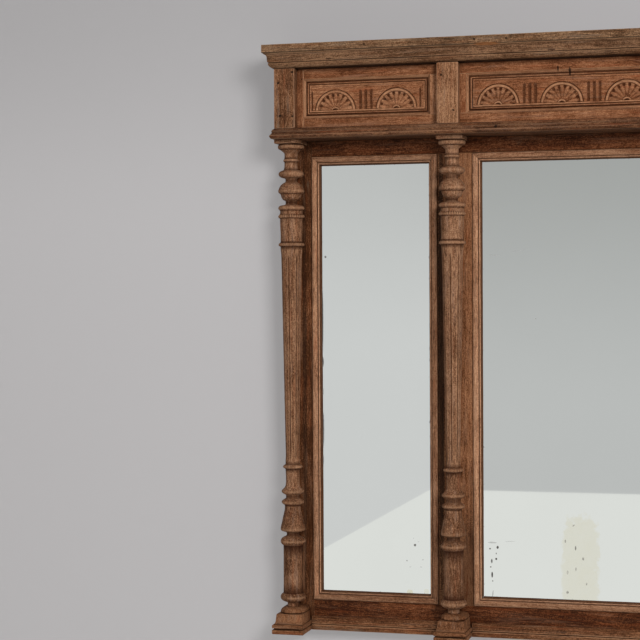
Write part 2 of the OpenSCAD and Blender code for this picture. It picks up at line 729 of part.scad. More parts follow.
module backboard(bay) {
    w = opening_w[bay] - 2 * backboard_play;
    h = opening_h - 2 * backboard_play;
    color(pine) translate([bay_x[bay] - w / 2, board_y, bottom_rail_h + backboard_play])
        cube([w, backboard_t, h]);
}
module back_strips() {
    y0 = board_y + backboard_t;
    for (bay = [0 : 2]) {
        x0 = bay_x[bay] - opening_w[bay] / 2;
        for (x = [x0, x0 + opening_w[bay] - strip_w]) {
            color(pine) translate([x, y0, bottom_rail_h]) cube([strip_w, -y0, opening_h]);
        }
        for (z = [bottom_rail_h, opening_z - strip_w]) {
            color(pine) translate([x0 + strip_w + joint_play, y0, z])
                cube([opening_w[bay] - 2 * strip_w - 2 * joint_play, -y0, strip_w]);
        }
    }
}

// Hangers: a plate with an eye, let into the back of each outer stile, and a ring that swings in the eye
module hanger_plates() {
    for (side = [-1, 1]) {
        color(iron) difference() {
            union() {
                translate([side * hanger_x - plate_w / 2, -pocket_d, hanger_z - plate_h / 2])
                    cube([plate_w, plate_t, plate_h]);
                translate([side * hanger_x - eye_t / 2, eye_y - eye_height, hanger_z - eye_r])
                    cube([eye_t, eye_height, 2 * eye_r]);
                translate([side * hanger_x - eye_t / 2, eye_y, hanger_z]) rotate([0, 90, 0])
                    cylinder(r = eye_r, h = eye_t);
            }
            translate([side * hanger_x - plate_w, eye_y, hanger_z]) rotate([0, 90, 0])
                cylinder(r = wire_r + eye_play, h = 2 * plate_w);
            at_screws(side) translate([0, 0, -over]) cylinder(r = screw_r + screw_play, h = plate_t + 2 * over);
            at_screws(side) screw_head(screw_play);
        }
    }
}
module hanging_ring(side) {
    color(iron) translate([side * hanger_x, eye_y, hanger_z - hang_ring_r]) rotate([90, 0, 0])
        rotate_extrude() translate([hang_ring_r, 0]) circle(wire_r);
}
head_d = plate_t - 0.3; // depth of the countersink
module screw_head(play) {
    cylinder(r1 = 2 * screw_r + play, r2 = screw_r + play, h = head_d);
}
module hanger_screws() {
    for (side = [-1, 1]) {
        color(iron) at_screws(side) difference() {
            union() {
                screw_head(0);
                cylinder(r = screw_r, h = screw_l);
            }
            translate([-2 * screw_r - over, -0.4, -over]) cube([4 * screw_r + 2 * over, 0.8, over + 0.8]);
        }
    }
}

cornice_top();
crown_front();
crown_returns();
frieze_rail(crown_z - frieze_rail_h);  // frieze_top_rail
frieze_rail(frieze_z);  // frieze_bottom_rail
frieze_outer_stile(-1);  // frieze_stile_1
frieze_inner_stile(-1);  // frieze_stile_2
frieze_inner_stile(1);  // frieze_stile_3
frieze_outer_stile(1);  // frieze_stile_4
frieze_panel(0);  // frieze_panel_left
frieze_panel(1);  // frieze_panel_centre
frieze_panel(2);  // frieze_panel_right
panel_bead(0);  // panel_bead_left
panel_bead(1);  // panel_bead_centre
panel_bead(2);  // panel_bead_right
for (i = [0 : 3]) {
    frieze_block(i);
    abacus(i);
    column(i);
    base(i);
}
frieze_ends();
ledge_board();
ledge_front();
ledge_returns();
outer_stile(-1);  // outer_stile_left
outer_stile(1);  // outer_stile_right
inner_stile(-1);  // inner_stile_left
inner_stile(1);  // inner_stile_right
rail(opening_z, top_rail_h);  // top_rail
rail(0, bottom_rail_h);  // bottom_rail
head_rail();
foot_moulding(0);  // foot_moulding_left
foot_moulding(1);  // foot_moulding_centre
foot_moulding(2);  // foot_moulding_right
glass_frame(0);  // glass_frame_left
glass_frame(1);  // glass_frame_centre
glass_frame(2);  // glass_frame_right
mirror_pane(0);  // mirror_left
mirror_pane(1);  // mirror_centre
mirror_pane(2);  // mirror_right
backboard(0);  // backboard_left
backboard(1);  // backboard_centre
backboard(2);  // backboard_right
back_strips();
hanger_plates();
hanging_ring(-1);  // hanging_ring_left
hanging_ring(1);  // hanging_ring_right
hanger_screws();
glue_blocks();
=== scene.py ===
import math
import random

import bmesh
import bpy
from mathutils import Matrix, Vector, noise


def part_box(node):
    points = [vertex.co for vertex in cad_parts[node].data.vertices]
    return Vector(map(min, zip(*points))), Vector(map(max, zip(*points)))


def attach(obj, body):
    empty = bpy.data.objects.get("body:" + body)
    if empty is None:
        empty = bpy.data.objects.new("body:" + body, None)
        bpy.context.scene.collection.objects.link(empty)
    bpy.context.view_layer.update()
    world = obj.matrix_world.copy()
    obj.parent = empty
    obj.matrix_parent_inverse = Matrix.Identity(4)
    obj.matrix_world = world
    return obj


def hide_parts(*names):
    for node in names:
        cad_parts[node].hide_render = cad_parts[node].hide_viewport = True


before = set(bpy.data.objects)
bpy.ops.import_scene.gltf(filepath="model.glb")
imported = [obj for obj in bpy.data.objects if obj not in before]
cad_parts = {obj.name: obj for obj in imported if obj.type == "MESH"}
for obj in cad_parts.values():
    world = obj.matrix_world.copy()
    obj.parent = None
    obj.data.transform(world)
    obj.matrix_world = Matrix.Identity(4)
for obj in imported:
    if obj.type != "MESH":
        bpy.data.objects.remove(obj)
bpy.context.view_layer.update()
mm = 0.001
noise.seed_set(7)        # noise_vector is seeded by the clock otherwise, and no two runs are alike
left, centre, right = "left", "centre", "right"
bays = {left: -0.474, centre: 0.0, right: 0.474}      # the middle of each bay
columnX = (-0.628, -0.320, 0.320, 0.628)      # the columns' axes
axisY = -0.055
print("frame loaded:", len(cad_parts), "nodes")


# Camera, where the photographer stood: low, to the right, with a long lens
photoView = {"place": (0.27187, -3.18437, 0.63483), "yaw": 15.11, "pitch": -0.82, "roll": -0.3, "lens": 96.98}


def addCamera(values):
    yaw, pitch, roll = (math.radians(values[k]) for k in ("yaw", "pitch", "roll"))
    forward = Vector((-math.sin(yaw) * math.cos(pitch), math.cos(yaw) * math.cos(pitch), math.sin(pitch)))
    side = Vector((math.cos(yaw), math.sin(yaw), 0))
    above = side.cross(forward)
    turnedSide = side * math.cos(roll) + above * math.sin(roll)
    turnedUp = above * math.cos(roll) - side * math.sin(roll)
    camera = bpy.data.objects.new("camera", bpy.data.cameras.new("camera"))
    camera.data.lens = values["lens"]
    camera.data.sensor_width = 36
    turn = Matrix((turnedSide, turnedUp, -forward)).transposed().to_4x4()
    camera.matrix_world = Matrix.Translation(values["place"]) @ turn
    bpy.context.scene.collection.objects.link(camera)
    bpy.context.scene.camera = camera


addCamera(photoView)
bpy.context.scene.view_settings.view_transform = "Standard"


# Shader maths as Python expressions
def linear(colour):
    shares = [c / 255 for c in colour]
    return tuple(c / 12.92 if c <= 0.04045 else ((c + 0.055) / 1.055) ** 2.4 for c in shares) + (1.0,)


class Wire:
    def __init__(self, finish, socket):
        self.finish, self.socket = finish, socket

    def maths(self, operation, *values):
        settings = {"operation": operation}
        return self.finish.node("ShaderNodeMath", settings, dict(enumerate(values)))

    def __add__(self, other): return self.maths("ADD", self, other)
    def __radd__(self, other): return self.maths("ADD", other, self)
    def __sub__(self, other): return self.maths("SUBTRACT", self, other)
    def __rsub__(self, other): return self.maths("SUBTRACT", other, self)
    def __mul__(self, other): return self.maths("MULTIPLY", self, other)
    def __rmul__(self, other): return self.maths("MULTIPLY", other, self)
    def __truediv__(self, other): return self.maths("DIVIDE", self, other)
    def __pow__(self, other): return self.maths("POWER", self, other)
    def __neg__(self): return self.maths("MULTIPLY", self, -1.0)
    def __abs__(self): return self.maths("ABSOLUTE", self)
    def sine(self): return self.maths("SINE", self)
    def most(self, other): return self.maths("MAXIMUM", self, other)

    def step(self, low, high):
        # eases from 0 to 1 while the value goes from low to high
        settings = {"interpolation_type": "SMOOTHSTEP"}
        return self.finish.node("ShaderNodeMapRange", settings, {0: self, 1: low, 2: high, 3: 0.0, 4: 1.0})


class Finish:
    def __init__(self, name):
        self.material = bpy.data.materials.new(name)
        self.material.use_nodes = True
        self.nodes = self.material.node_tree.nodes
        self.links = self.material.node_tree.links
        self.nodes.clear()
        self.output = self.nodes.new("ShaderNodeOutputMaterial")

    def node(self, kind, settings=None, inputs=None, out=0):
        made = self.nodes.new(kind)
        for key, value in (settings or {}).items():
            if key == "stops":
                ramp = made.color_ramp
                while len(ramp.elements) < len(value):
                    ramp.elements.new(0.5)
                for element, (place, colour) in zip(ramp.elements, value):
                    element.position = place
                    element.color = linear(colour)
            else:
                setattr(made, key, value)
        for key, value in (inputs or {}).items():
            if isinstance(value, Wire):
                self.links.new(value.socket, made.inputs[key])
            else:
                made.inputs[key].default_value = value
        return Wire(self, made.outputs[out])

    def place(self):
        return self.node("ShaderNodeTexCoord", out="Object")

    def split(self, vector):
        parts = self.node("ShaderNodeSeparateXYZ", None, {0: vector})
        outputs = parts.socket.node.outputs
        return [Wire(self, outputs[k]) for k in range(3)]

    def join(self, x, y, z):
        return self.node("ShaderNodeCombineXYZ", None, {0: x, 1: y, 2: z})

    def cloud(self, vector, scale, detail=2.0, rough=0.5):
        values = {"Vector": vector, "Scale": scale, "Detail": detail, "Roughness": rough}
        return self.node("ShaderNodeTexNoise", None, values)

    def mix(self, share, first, second):
        return self.node("ShaderNodeMix", {"data_type": "RGBA"}, {0: share, 6: first, 7: second}, out=2)

    def attribute(self, name):
        return self.node("ShaderNodeAttribute", {"attribute_name": name}, out="Vector")

    def surface(self, values):
        shader = self.node("ShaderNodeBsdfPrincipled", None, values)
        self.links.new(shader.socket, self.output.inputs["Surface"])
        return self.material


# Weathered oak. Each board carries two attributes: board (where its grain is cut from, and its tone)
# and mark (worn arris; dirt and painted shade in hollows).
grain = {
    "cutAcross": 3.0, "cutAlong": 7.0,      # how far apart the boards are cut from
    # noises that follow the grain: scale across and along it, detail, roughness
    "drift": (3.0, 2.2, 2.0, 0.5), "bands": (80.0, 5.0, 2.0, 0.55), "streaks": (430.0, 34.0, 3.0, 0.65),
    "fibres": (760.0, 150.0, 3.0, 0.75), "hue": (150.0, 11.0, 3.0, 0.6), "patches": (40.0, 14.0, 5.0, 0.72),
    "pores": (1500.0, 60.0, 1.0, 0.5), "pits": (430.0, 130.0, 2.0, 0.6),
    # noises that don't: scale, detail, roughness
    "speckle": (520.0, 2.0, 0.6), "blotch": (17.0, 4.0, 0.62), "blots": (45.0, 4.0, 0.75),
    "driftReach": 0.03, "rings": 760.0, "rubbed": 0.75,
    # painted corner shade: how far ambient occlusion looks, which occlusion darkens, and how far in front of the
    # wall
    "cornerReach": 0.008, "cornerShadeRange": (0.36, 0.84), "frontShadeRange": (0.002, 0.02),
    "reliefDepth": 0.0007, "reliefStrength": 0.6,
}
# what a kind of board has where tonesOf gives it nothing else
usualTones = {"contrast": 1.0, "ash": (134, 110, 92), "red": (124, 66, 40), "grey": 0.2, "greyness": 0.6,
              "greyTone": (118, 98, 80), "stain": (56, 32, 17), "cornerShade": 0.95}


def oakFinish(name, axis, kind):
    f = Finish(name)
    tones = {**usualTones, **tonesOf[kind]}
    x, y, z = f.split(f.place())
    cut, cutTwo, tone = f.split(f.attribute("board"))
    worn, hollowDirtAndShade = f.split(f.attribute("mark"))[:2]
    across = {"X": (z, y, x), "Y": (z, x, y), "Z": (x, y, z)}[axis]
    u, v = across[0] + cut * grain["cutAcross"], across[1] + cutTwo * grain["cutAcross"]
    along = across[2] + cut * grain["cutAlong"]
    plain = f.join(u, v, along)

    def drawn(key):
        wide, lengthwise, detail, rough = grain[key]
        return f.cloud(f.join(u * wide, v * wide, along * lengthwise), 1.0, detail, rough)

    drift = (drawn("drift") - 0.5) * grain["driftReach"]
    u, v = u + drift, v + drift * 0.6
    bands, streaks, fibres, hue, patches = (drawn(key) for key in ("bands", "streaks", "fibres", "hue", "patches"))
    pores, pits = drawn("pores").step(0.60, 0.70), drawn("pits").step(0.64, 0.74)
    speckle, blotch, blots = (f.cloud(plain, *grain[key]) for key in ("speckle", "blotch", "blots"))
    rings = ((u + v * 0.7 + along * 0.006) * grain["rings"] + bands * 9.0).sine()
    shade = (bands - 0.5) * 0.6 + (streaks - 0.5) * 1.25 + (fibres - 0.5) * 1.9
    shade = shade + (speckle - 0.5) * 1.5 + rings * 0.05
    shade = shade * tones["contrast"] + (blotch - 0.5) * 1.1 + (tone - 0.5) * 0.9 + 0.5
    # painted light: paler towards the top and darker towards the bottom, as light falls from above
    if "paintedLightFall" in tones:
        shade = shade + (z - 0.5) * tones["paintedLightFall"]      # paler towards the top
    stops = [(0.0, tones["dark"]), (0.5, tones["mid"]), (1.0, tones["light"])]
    colour = f.node("ShaderNodeValToRGB", {"stops": stops}, {0: shade})
    colour = f.mix(hue.step(0.52, 0.72) * 0.45, colour, linear(tones["ash"]))
    colour = f.mix(hue.step(0.46, 0.28) * 0.4, colour, linear(tones["red"]))
    greyShare = patches.step(0.66 - tones["grey"] * 0.22, 0.76) * tones["greyness"]
    colour = f.mix(greyShare, colour, linear(tones["greyTone"]))
    colour = f.mix(blots.step(0.62, 0.74) * 0.5, colour, linear(tones["stain"]))
    colour = f.mix((pores * 0.45).most(pits * 0.4), colour, linear(tones["pore"]))
    rubbed = worn * (fibres * 0.6 + patches).step(0.5, 0.95)
    colour = f.mix(rubbed * grain["rubbed"], colour, linear(tones["worn"]))
    # painted shade: ambient occlusion darkens corners and crevices on faces 2 to 20 mm in front of the wall
    corner = f.node("ShaderNodeAmbientOcclusion", {"samples": 6}, {"Distance": grain["cornerReach"]}, out="AO")
    cornerShade = (1.0 - corner).step(*grain["cornerShadeRange"]) * (-y).step(*grain["frontShadeRange"])
    cornerShade = cornerShade * (0.95 + (blotch - 0.5) * 0.6)
    colour = f.mix(cornerShade * tones["cornerShade"], colour, linear(tones["hollowDirtAndShade"]))
    # dirt and painted shade in the hollows that the mark attribute carries
    colour = f.mix(hollowDirtAndShade * (0.7 + blotch * 0.5), colour, linear(tones["hollowDirtAndShade"]))
    # painted shade: dark lines in the joints and grooves
    for height, half, depth in shadeLinesOf.get(kind, ()):
        line = (abs(z - height * mm) + (bands - 0.5) * 0.0008).step(half * mm, half * mm * 0.4) * depth
        colour = f.mix(line, colour, linear(tones["hollowDirtAndShade"]))
    for atX, atZ, halfW, halfH, depth, tint in spotsOf.get(kind, ()):
        away = ((x - atX * mm) / (halfW * mm)) ** 2 + ((z - atZ * mm) / (halfH * mm)) ** 2
        colour = f.mix((away + (speckle - 0.5) * 2.0).step(1.25, 0.5) * depth, colour, linear(tint))
    relief = streaks * 0.5 + fibres * 0.35 - pores * 0.5 - pits * 0.4 + patches * 0.6
    bump = f.node("ShaderNodeBump", None, {"Strength": grain["reliefStrength"], "Distance": grain["reliefDepth"],
                                           "Height": relief})
    rough = 0.7 + (blotch - 0.5) * 0.25 + pores * 0.15 + hollowDirtAndShade * 0.2 - worn * 0.08
    return f.surface({"Base Color": colour, "Roughness": rough, "Normal": bump, "Specular IOR Level": 0.07})


tonesOf = {
    "cornice": {"dark": (54, 37, 23), "mid": (100, 72, 50), "light": (147, 115, 87), "pore": (38, 26, 16),
                "worn": (152, 124, 98), "hollowDirtAndShade": (34, 19, 10), "grey": 0.6, "greyness": 0.5,
                "ash": (110, 94, 80), "red": (112, 66, 38)},
    "crown": {"dark": (50, 31, 17), "mid": (90, 62, 42), "light": (134, 101, 75), "pore": (36, 21, 12),
              "worn": (140, 107, 79), "hollowDirtAndShade": (32, 16, 8), "grey": 0.35, "greyness": 0.5,
              "ash": (110, 90, 74), "red": (102, 58, 34)},
    "frieze": {"dark": (72, 37, 18), "mid": (122, 77, 50), "light": (170, 122, 89), "pore": (50, 25, 12),
               "worn": (172, 128, 95), "hollowDirtAndShade": (46, 20, 8), "grey": 0.1, "greyness": 0.3,
               "ash": (140, 104, 82), "red": (130, 66, 38), "contrast": 0.8},
    "block": {"dark": (59, 34, 19), "mid": (106, 70, 46), "light": (152, 112, 83), "pore": (40, 22, 12),
              "worn": (170, 130, 101), "hollowDirtAndShade": (38, 19, 10), "grey": 0.3, "ash": (124, 102, 86)},
    "ledge": {"dark": (42, 22, 12), "mid": (80, 50, 32), "light": (122, 86, 61), "pore": (32, 18, 10),
              "worn": (136, 101, 76), "hollowDirtAndShade": (28, 14, 7), "grey": 0.25, "ash": (102, 78, 63)},
    "carcass": {"dark": (60, 33, 16), "mid": (114, 72, 46), "light": (156, 110, 78), "pore": (38, 20, 10),
                "worn": (150, 108, 76), "hollowDirtAndShade": (30, 14, 6), "grey": 0.08, "greyness": 0.35,
                "ash": (126, 92, 70), "red": (122, 62, 34)},
    "rail": {"dark": (48, 23, 10), "mid": (92, 51, 28), "light": (126, 79, 51), "pore": (30, 14, 7),
             "worn": (126, 84, 56), "hollowDirtAndShade": (30, 13, 5), "grey": 0.05, "greyness": 0.3,
             "ash": (104, 74, 56), "red": (104, 50, 24), "cornerShade": 0.6, "contrast": 1.25},
    "column": {"dark": (56, 32, 18), "mid": (110, 75, 52), "light": (156, 118, 91), "pore": (40, 21, 12),
               "worn": (166, 127, 97), "hollowDirtAndShade": (46, 22, 11), "grey": 0.22, "greyness": 0.4,
               "ash": (140, 112, 95), "red": (122, 66, 40), "paintedLightFall": 0.2},
    "bead": {"dark": (78, 47, 29), "mid": (140, 98, 71), "light": (184, 140, 108), "pore": (54, 30, 18),
             "worn": (206, 160, 127), "hollowDirtAndShade": (50, 25, 12), "grey": 0.1, "greyness": 0.4,
             "ash": (152, 120, 98), "red": (140, 80, 51)},
    "foot": {"dark": (52, 28, 14), "mid": (98, 62, 39), "light": (140, 98, 69), "pore": (34, 18, 9),
             "worn": (158, 118, 88), "hollowDirtAndShade": (32, 15, 6), "grey": 0.2, "ash": (118, 92, 74)},
    "pine": {"dark": (122, 92, 62), "mid": (160, 128, 90), "light": (188, 158, 120), "pore": (104, 76, 50),
             "worn": (196, 168, 132), "hollowDirtAndShade": (84, 62, 42), "grey": 0.5, "greyTone": (138, 122, 102),
             "ash": (160, 140, 114), "red": (166, 122, 78), "stain": (96, 70, 46)},
}
# painted shade lines along the boards, in their joints and grooves: (height, half width, darkness), in mm
shadeLinesOf = {"cornice": [(1085.6, 0.9, 0.7)], "crown": [(1067.2, 0.8, 0.85), (1056.8, 1.2, 0.8)],
           "ledge": [(946.0, 0.9, 0.8), (939.5, 0.8, 0.45)], "foot": [(18.6, 0.6, 0.75), (10.9, 0.7, 0.75)]}
# spots on the boards: (x, height, half width, half height, strength, colour), in mm
nailAndShadow, dirtAndShade, amber = (26, 17, 11), (44, 24, 13), (138, 84, 44)
spotsOf = {
    "block": [(-639.5, 1030.4, 2.7, 2.5, 0.95, nailAndShadow), (-612.0, 1049.5, 2.9, 2.2, 0.9, nailAndShadow),
              (-636.0, 969.0, 2.9, 2.4, 0.95, nailAndShadow), (-612.0, 968.0, 2.6, 2.2, 0.9, nailAndShadow),
              (-626.0, 1006.0, 1.4, 26.0, 0.35, dirtAndShade), (-331.0, 1034.0, 2.4, 2.2, 0.85, nailAndShadow),
              (-309.0, 969.5, 2.4, 2.1, 0.8, nailAndShadow), (333.0, 1031.0, 2.6, 2.4, 0.9, nailAndShadow),
              (639.0, 1029.0, 2.7, 2.5, 0.9, nailAndShadow), (616.0, 969.0, 2.6, 2.2, 0.85, nailAndShadow)],
    "cornice": [(-266.9, 1093.2, 2.6, 2.2, 0.9, nailAndShadow), (-209.1, 1092.4, 2.6, 2.2, 0.9, nailAndShadow),
                (-245.0, 1085.0, 24.0, 1.6, 0.6, amber), (238.0, 1093.0, 2.6, 2.2, 0.9, nailAndShadow),
                (-470.0, 1092.6, 2.4, 2.1, 0.7, nailAndShadow), (505.0, 1092.0, 2.6, 2.2, 0.85, nailAndShadow)],
    "crown": [(-539.8, 1070.3, 6.5, 1.7, 0.8, dirtAndShade), (-129.0, 1069.6, 7.5, 1.6, 0.8, dirtAndShade),
              (-245.0, 1084.0, 24.0, 2.0, 0.55, amber), (311.0, 1070.2, 6.0, 1.7, 0.7, dirtAndShade)],
    "frieze": [(-121.5, 1040.0, 1.8, 5.0, 0.85, nailAndShadow), (-100.5, 1034.0, 2.4, 8.0, 0.9, nailAndShadow),
               (-111.0, 1032.6, 9.0, 1.6, 0.4, dirtAndShade), (-598.5, 1038.0, 1.9, 1.8, 0.6, nailAndShadow),
               (289.0, 1037.0, 2.1, 2.0, 0.6, nailAndShadow), (-475.6, 963.6, 122.0, 1.7, 0.4, dirtAndShade),
               (0.0, 963.6, 290.0, 1.7, 0.4, dirtAndShade), (475.6, 963.6, 122.0, 1.7, 0.4, dirtAndShade)],
    # painted shadow: the long strips beside the columns, and the patches low beside columns 2 and 3
    "carcass": [(-347.0, 505.0, 6.5, 470.0, 0.8, nailAndShadow), (347.0, 505.0, 6.5, 470.0, 0.6, nailAndShadow),
                (-611.0, 505.0, 4.0, 470.0, 0.5, nailAndShadow), (611.0, 505.0, 4.0, 470.0, 0.5, nailAndShadow),
                (-286.0, 80.0, 30.0, 150.0, 0.6, dirtAndShade), (286.0, 80.0, 30.0, 150.0, 0.5, dirtAndShade)],
    "ledge": [(-230.6, 937.1, 3.2, 2.8, 0.95, nailAndShadow), (262.0, 936.8, 2.9, 2.7, 0.9, nailAndShadow)],
}
# boards that are darker or lighter than their neighbours, from 0 to 1
toneOf = {"outer_stile_left_worn": 0.05, "outer_stile_right_worn": 0.14, "inner_stile_left_worn": 0.6,
          "inner_stile_right_worn": 0.58, "top_rail_worn": 0.4, "bottom_rail_worn": 0.2,
          "frieze_block_1_worn": 0.38, "frieze_block_2_worn": 0.68, "frieze_bottom_rail_worn": 0.46,
          "frieze_top_rail_worn": 0.34, "base_1_worn": 0.66, "base_2_worn": 0.6, "base_3_worn": 0.62,
          "base_4_worn": 0.66, "column_1_turned": 0.44, "column_2_turned": 0.5,
          "column_3_turned": 0.48, "column_4_turned": 0.46}
made = {}


def oak(kind, axis):
    key = f"oak_{kind}_{axis.lower()}" if kind != "pine" else f"pine_{axis.lower()}"
    if key not in made:
        made[key] = oakFinish(key, axis, kind)
    return made[key]


# Putting a mesh in the scene
def stamp(mesh):
    random.seed(mesh.name)
    values = (random.random(), random.random(), toneOf.get(mesh.name, random.uniform(0.4, 0.6)), 1.0)
    board = mesh.attributes.new("board", "FLOAT_COLOR", "POINT")
    for item in board.data:
        item.color = values


def addPiece(name, bm, finishes, node):
    mesh = bpy.data.meshes.new(name)
    bm.to_mesh(mesh)
    bm.free()
    for finish in finishes:
        mesh.materials.append(finish)
    stamp(mesh)
    piece = bpy.data.objects.new(name, mesh)
    bpy.context.scene.collection.objects.link(piece)
    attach(piece, "mirror")
    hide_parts(node)


def merged(node):
    bm = bmesh.new()
    bm.from_mesh(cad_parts[node].data)
    bmesh.ops.remove_doubles(bm, verts=bm.verts, dist=1e-6)
    bmesh.ops.dissolve_limit(bm, angle_limit=math.radians(0.6), verts=bm.verts, edges=bm.edges)
    for layer in list(bm.loops.layers.uv.values()):
        bm.loops.layers.uv.remove(layer)
    return bm


def slices(bm, axis, gap):
    # cuts the mesh across its length, so that its arrises can wander
    low = min(v.co[axis] for v in bm.verts)
    high = max(v.co[axis] for v in bm.verts)
    direction = Vector([1.0 if k == axis else 0.0 for k in range(3)])
    count = int((high - low) / gap)
    for k in range(1, count + 1):
        at = low + (high - low) * k / (count + 1)
        parts = list(bm.verts) + list(bm.edges) + list(bm.faces)
        bmesh.ops.bisect_plane(bm, geom=parts, plane_co=direction * at, plane_no=direction, dist=1e-7)


def soften(bm, arris, segments=2, limit=34):
    # bevels every sharp arris and marks the new faces as worn
    curved = set()
    for edge in bm.edges:
        if len(edge.link_faces) == 2:
            turn = math.degrees(edge.calc_face_angle(0))
            if 1.5 < turn < limit:
                curved.update(edge.link_faces)
    for face in bm.faces:
        face.smooth = face in curved
    shared = [e for e in bm.edges if len(e.link_faces) == 2]
    sharp = [e for e in shared if math.degrees(e.calc_face_angle_signed(0)) > limit]
    result = bmesh.ops.bevel(bm, geom=sharp, offset=arris, offset_type="OFFSET", affect="EDGES",
                             segments=segments, profile=0.5, material=-1, clamp_overlap=True)
    mark = bm.loops.layers.float_color.new("mark")
    bevelled = set(result["faces"])
    for face in bm.faces:
        if face in bevelled:
            face.smooth = True
        for loop in face.loops:
            loop[mark] = (1.0 if face in bevelled else 0.0, 0.0, 0.0, 1.0)


def wander(bm, amount, size=0.03):
    # uneven hand work and wear: every vertex strays a little
    for vert in bm.verts:
        vert.co += noise.noise_vector(vert.co / size) * amount


# The plain boards. Wear in metres: how far an arris is rounded, how far the surface strays, and how far
# apart a board is cut so that it can.
boardWear = {"arris": 0.0009, "stray": 0.00025, "gap": 0.02}
boardsOf = {
    "cornice_top": ("cornice", "X", "oak_cornice"), "crown_front": ("crown", "X", "oak_cornice"),
    "crown_returns": ("crown", "Y", "oak_cornice"),
    "frieze_top_rail": ("frieze", "X", "oak_frieze"), "frieze_bottom_rail": ("frieze", "X", "oak_frieze"),
    "frieze_ends": ("ledge", "Y", "oak_frieze"),
    "ledge_board": ("ledge", "X", "oak_frame"), "ledge_front": ("ledge", "X", "oak_frame"),
    "ledge_returns": ("ledge", "Y", "oak_frame"),
    "outer_stile_left": ("carcass", "Z", "oak_frame"), "outer_stile_right": ("carcass", "Z", "oak_frame"),
    "inner_stile_left": ("carcass", "Z", "oak_frame"), "inner_stile_right": ("carcass", "Z", "oak_frame"),
    "top_rail": ("rail", "X", "oak_frame"), "bottom_rail": ("rail", "X", "oak_frame"),
    "head_rail": ("rail", "X", "oak_frame"),
    "foot_moulding_left": ("foot", "X", "oak_frame"), "foot_moulding_centre": ("foot", "X", "oak_frame"),
    "foot_moulding_right": ("foot", "X", "oak_frame"),
    "backboard_left": ("pine", "Z", "pine"), "backboard_centre": ("pine", "Z", "pine"),
    "backboard_right": ("pine", "Z", "pine"), "back_strips": ("pine", "Z", "pine"),
    "glue_blocks": ("pine", "X", "pine"),
}
for number in (1, 2, 3, 4):
    boardsOf[f"frieze_stile_{number}"] = ("frieze", "Z", "oak_frieze")
    boardsOf[f"frieze_block_{number}"] = ("block", "Z", "oak_frieze")
    boardsOf[f"abacus_{number}"] = ("column", "X", "oak_frame")
for name, (kind, axis, slot) in boardsOf.items():
    bm = merged(name)
    soften(bm, boardWear["arris"])
    slices(bm, "XYZ".index(axis), boardWear["gap"])
    wander(bm, boardWear["stray"])
    addPiece(f"{name}_worn", bm, [oak(kind, axis)], name)

# The bases: their grain runs across under plinthTop, and upright above it
baseWear = {"arris": 0.0006, "stray": 0.0003, "straySize": 0.02, "plinthTop": 0.0215}
for number in (1, 2, 3, 4):
    name = f"base_{number}"
    bm = merged(name)
    soften(bm, baseWear["arris"])
    for face in bm.faces:
        face.material_index = 1 if face.calc_center_median().z < baseWear["plinthTop"] else 0
    wander(bm, baseWear["stray"], baseWear["straySize"])
    addPiece(f"{name}_worn", bm, [oak("foot", "Z"), oak("foot", "X")], name)
print("boards made:", len(boardsOf))


# The mitred mouldings round the panes and the carved fields. lines: how far in from the outer edge a line
# of the profile starts and ends, in mm, and how dark it is, with dirt and painted shade in the grooves; below 0
# it is worn bright, with painted highlight where the lit length keeps more of it than the others. shaded: how
# dark the other three lengths are, where only the left one catches the light.
mouldings = {
    "glass_frame": {"kind": "bead", "slot": "oak_frame", "shaded": 0.36,
                    "lines": ((-1, 0.6, 0.8), (0.6, 9.0, -0.2), (10.4, 12.0, 0.7), (12.0, 14.8, 0.1),
                              (14.8, 18, 0.8))},
    "panel_bead": {"kind": "frieze", "slot": "oak_frieze", "shaded": 0.0,
                   "lines": ((-1, 0.4, 0.4), (0.4, 3.9, -0.7), (4.6, 7.4, 0.7), (9.2, 10.5, 0.5))},
}
mouldingWear = {"arris": 0.0004, "stray": 0.00018, "gap": 0.02, "shadedRub": 0.25}


def mitred(name, values, middleX):
    low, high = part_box(name)
    middle = (middleX, (low.z + high.z) / 2)      # of the frame, in x and z
    half = ((high.x - low.x) / 2, (high.z - low.z) / 2)
    shaded = values["shaded"]
    bm = merged(name)

    def uprightFace(face):
        at = face.calc_center_median()
        return half[0] - abs(at.x - middle[0]) < half[1] - abs(at.z - middle[1])

    inner = []
    for face in bm.faces:
        face.material_index = 0 if uprightFace(face) else 1
        n = face.normal
        if abs(n.y) < 0.01 and abs(abs(n.x) - abs(n.z)) < 0.01:
            inner.append(face)      # the mitre's own cut faces
    bmesh.ops.delete(bm, geom=inner, context="FACES_ONLY")
    bmesh.ops.remove_doubles(bm, verts=bm.verts, dist=1e-5)
    soften(bm, mouldingWear["arris"])
    mark = bm.loops.layers.float_color["mark"]
    for face in bm.faces:
        at = face.calc_center_median()
        inward = min(half[0] - abs(at.x - middle[0]), half[1] - abs(at.z - middle[1])) / mm
        lit = shaded == 0.0 or (uprightFace(face) and at.x < middle[0])
        depth = sum(line[2] for line in values["lines"] if line[0] < inward < line[1])
        # painted highlight on the lit length, painted shade on the others, and dirt with painted shade in the
        # grooves
        worn = max(0.0, -depth) * (1.0 if lit else mouldingWear["shadedRub"])
        dirtAndShade = max(depth, 0.0 if lit else shaded)
        for loop in face.loops:
            loop[mark] = (max(worn, loop[mark][0] * (1.0 - dirtAndShade)), dirtAndShade, 0.0, 1.0)
    for axis in (0, 2):
        slices(bm, axis, mouldingWear["gap"])
    wander(bm, mouldingWear["stray"])
    addPiece(f"{name}_worn", bm, [oak(values["kind"], "Z"), oak(values["kind"], "X")], name)


for bay, middle in bays.items():
    mitred(f"glass_frame_{bay}", mouldings["glass_frame"], middle)
    low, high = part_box(f"panel_bead_{bay}")
    mitred(f"panel_bead_{bay}", mouldings["panel_bead"], (low.x + high.x) / 2)
print("mitred mouldings made")


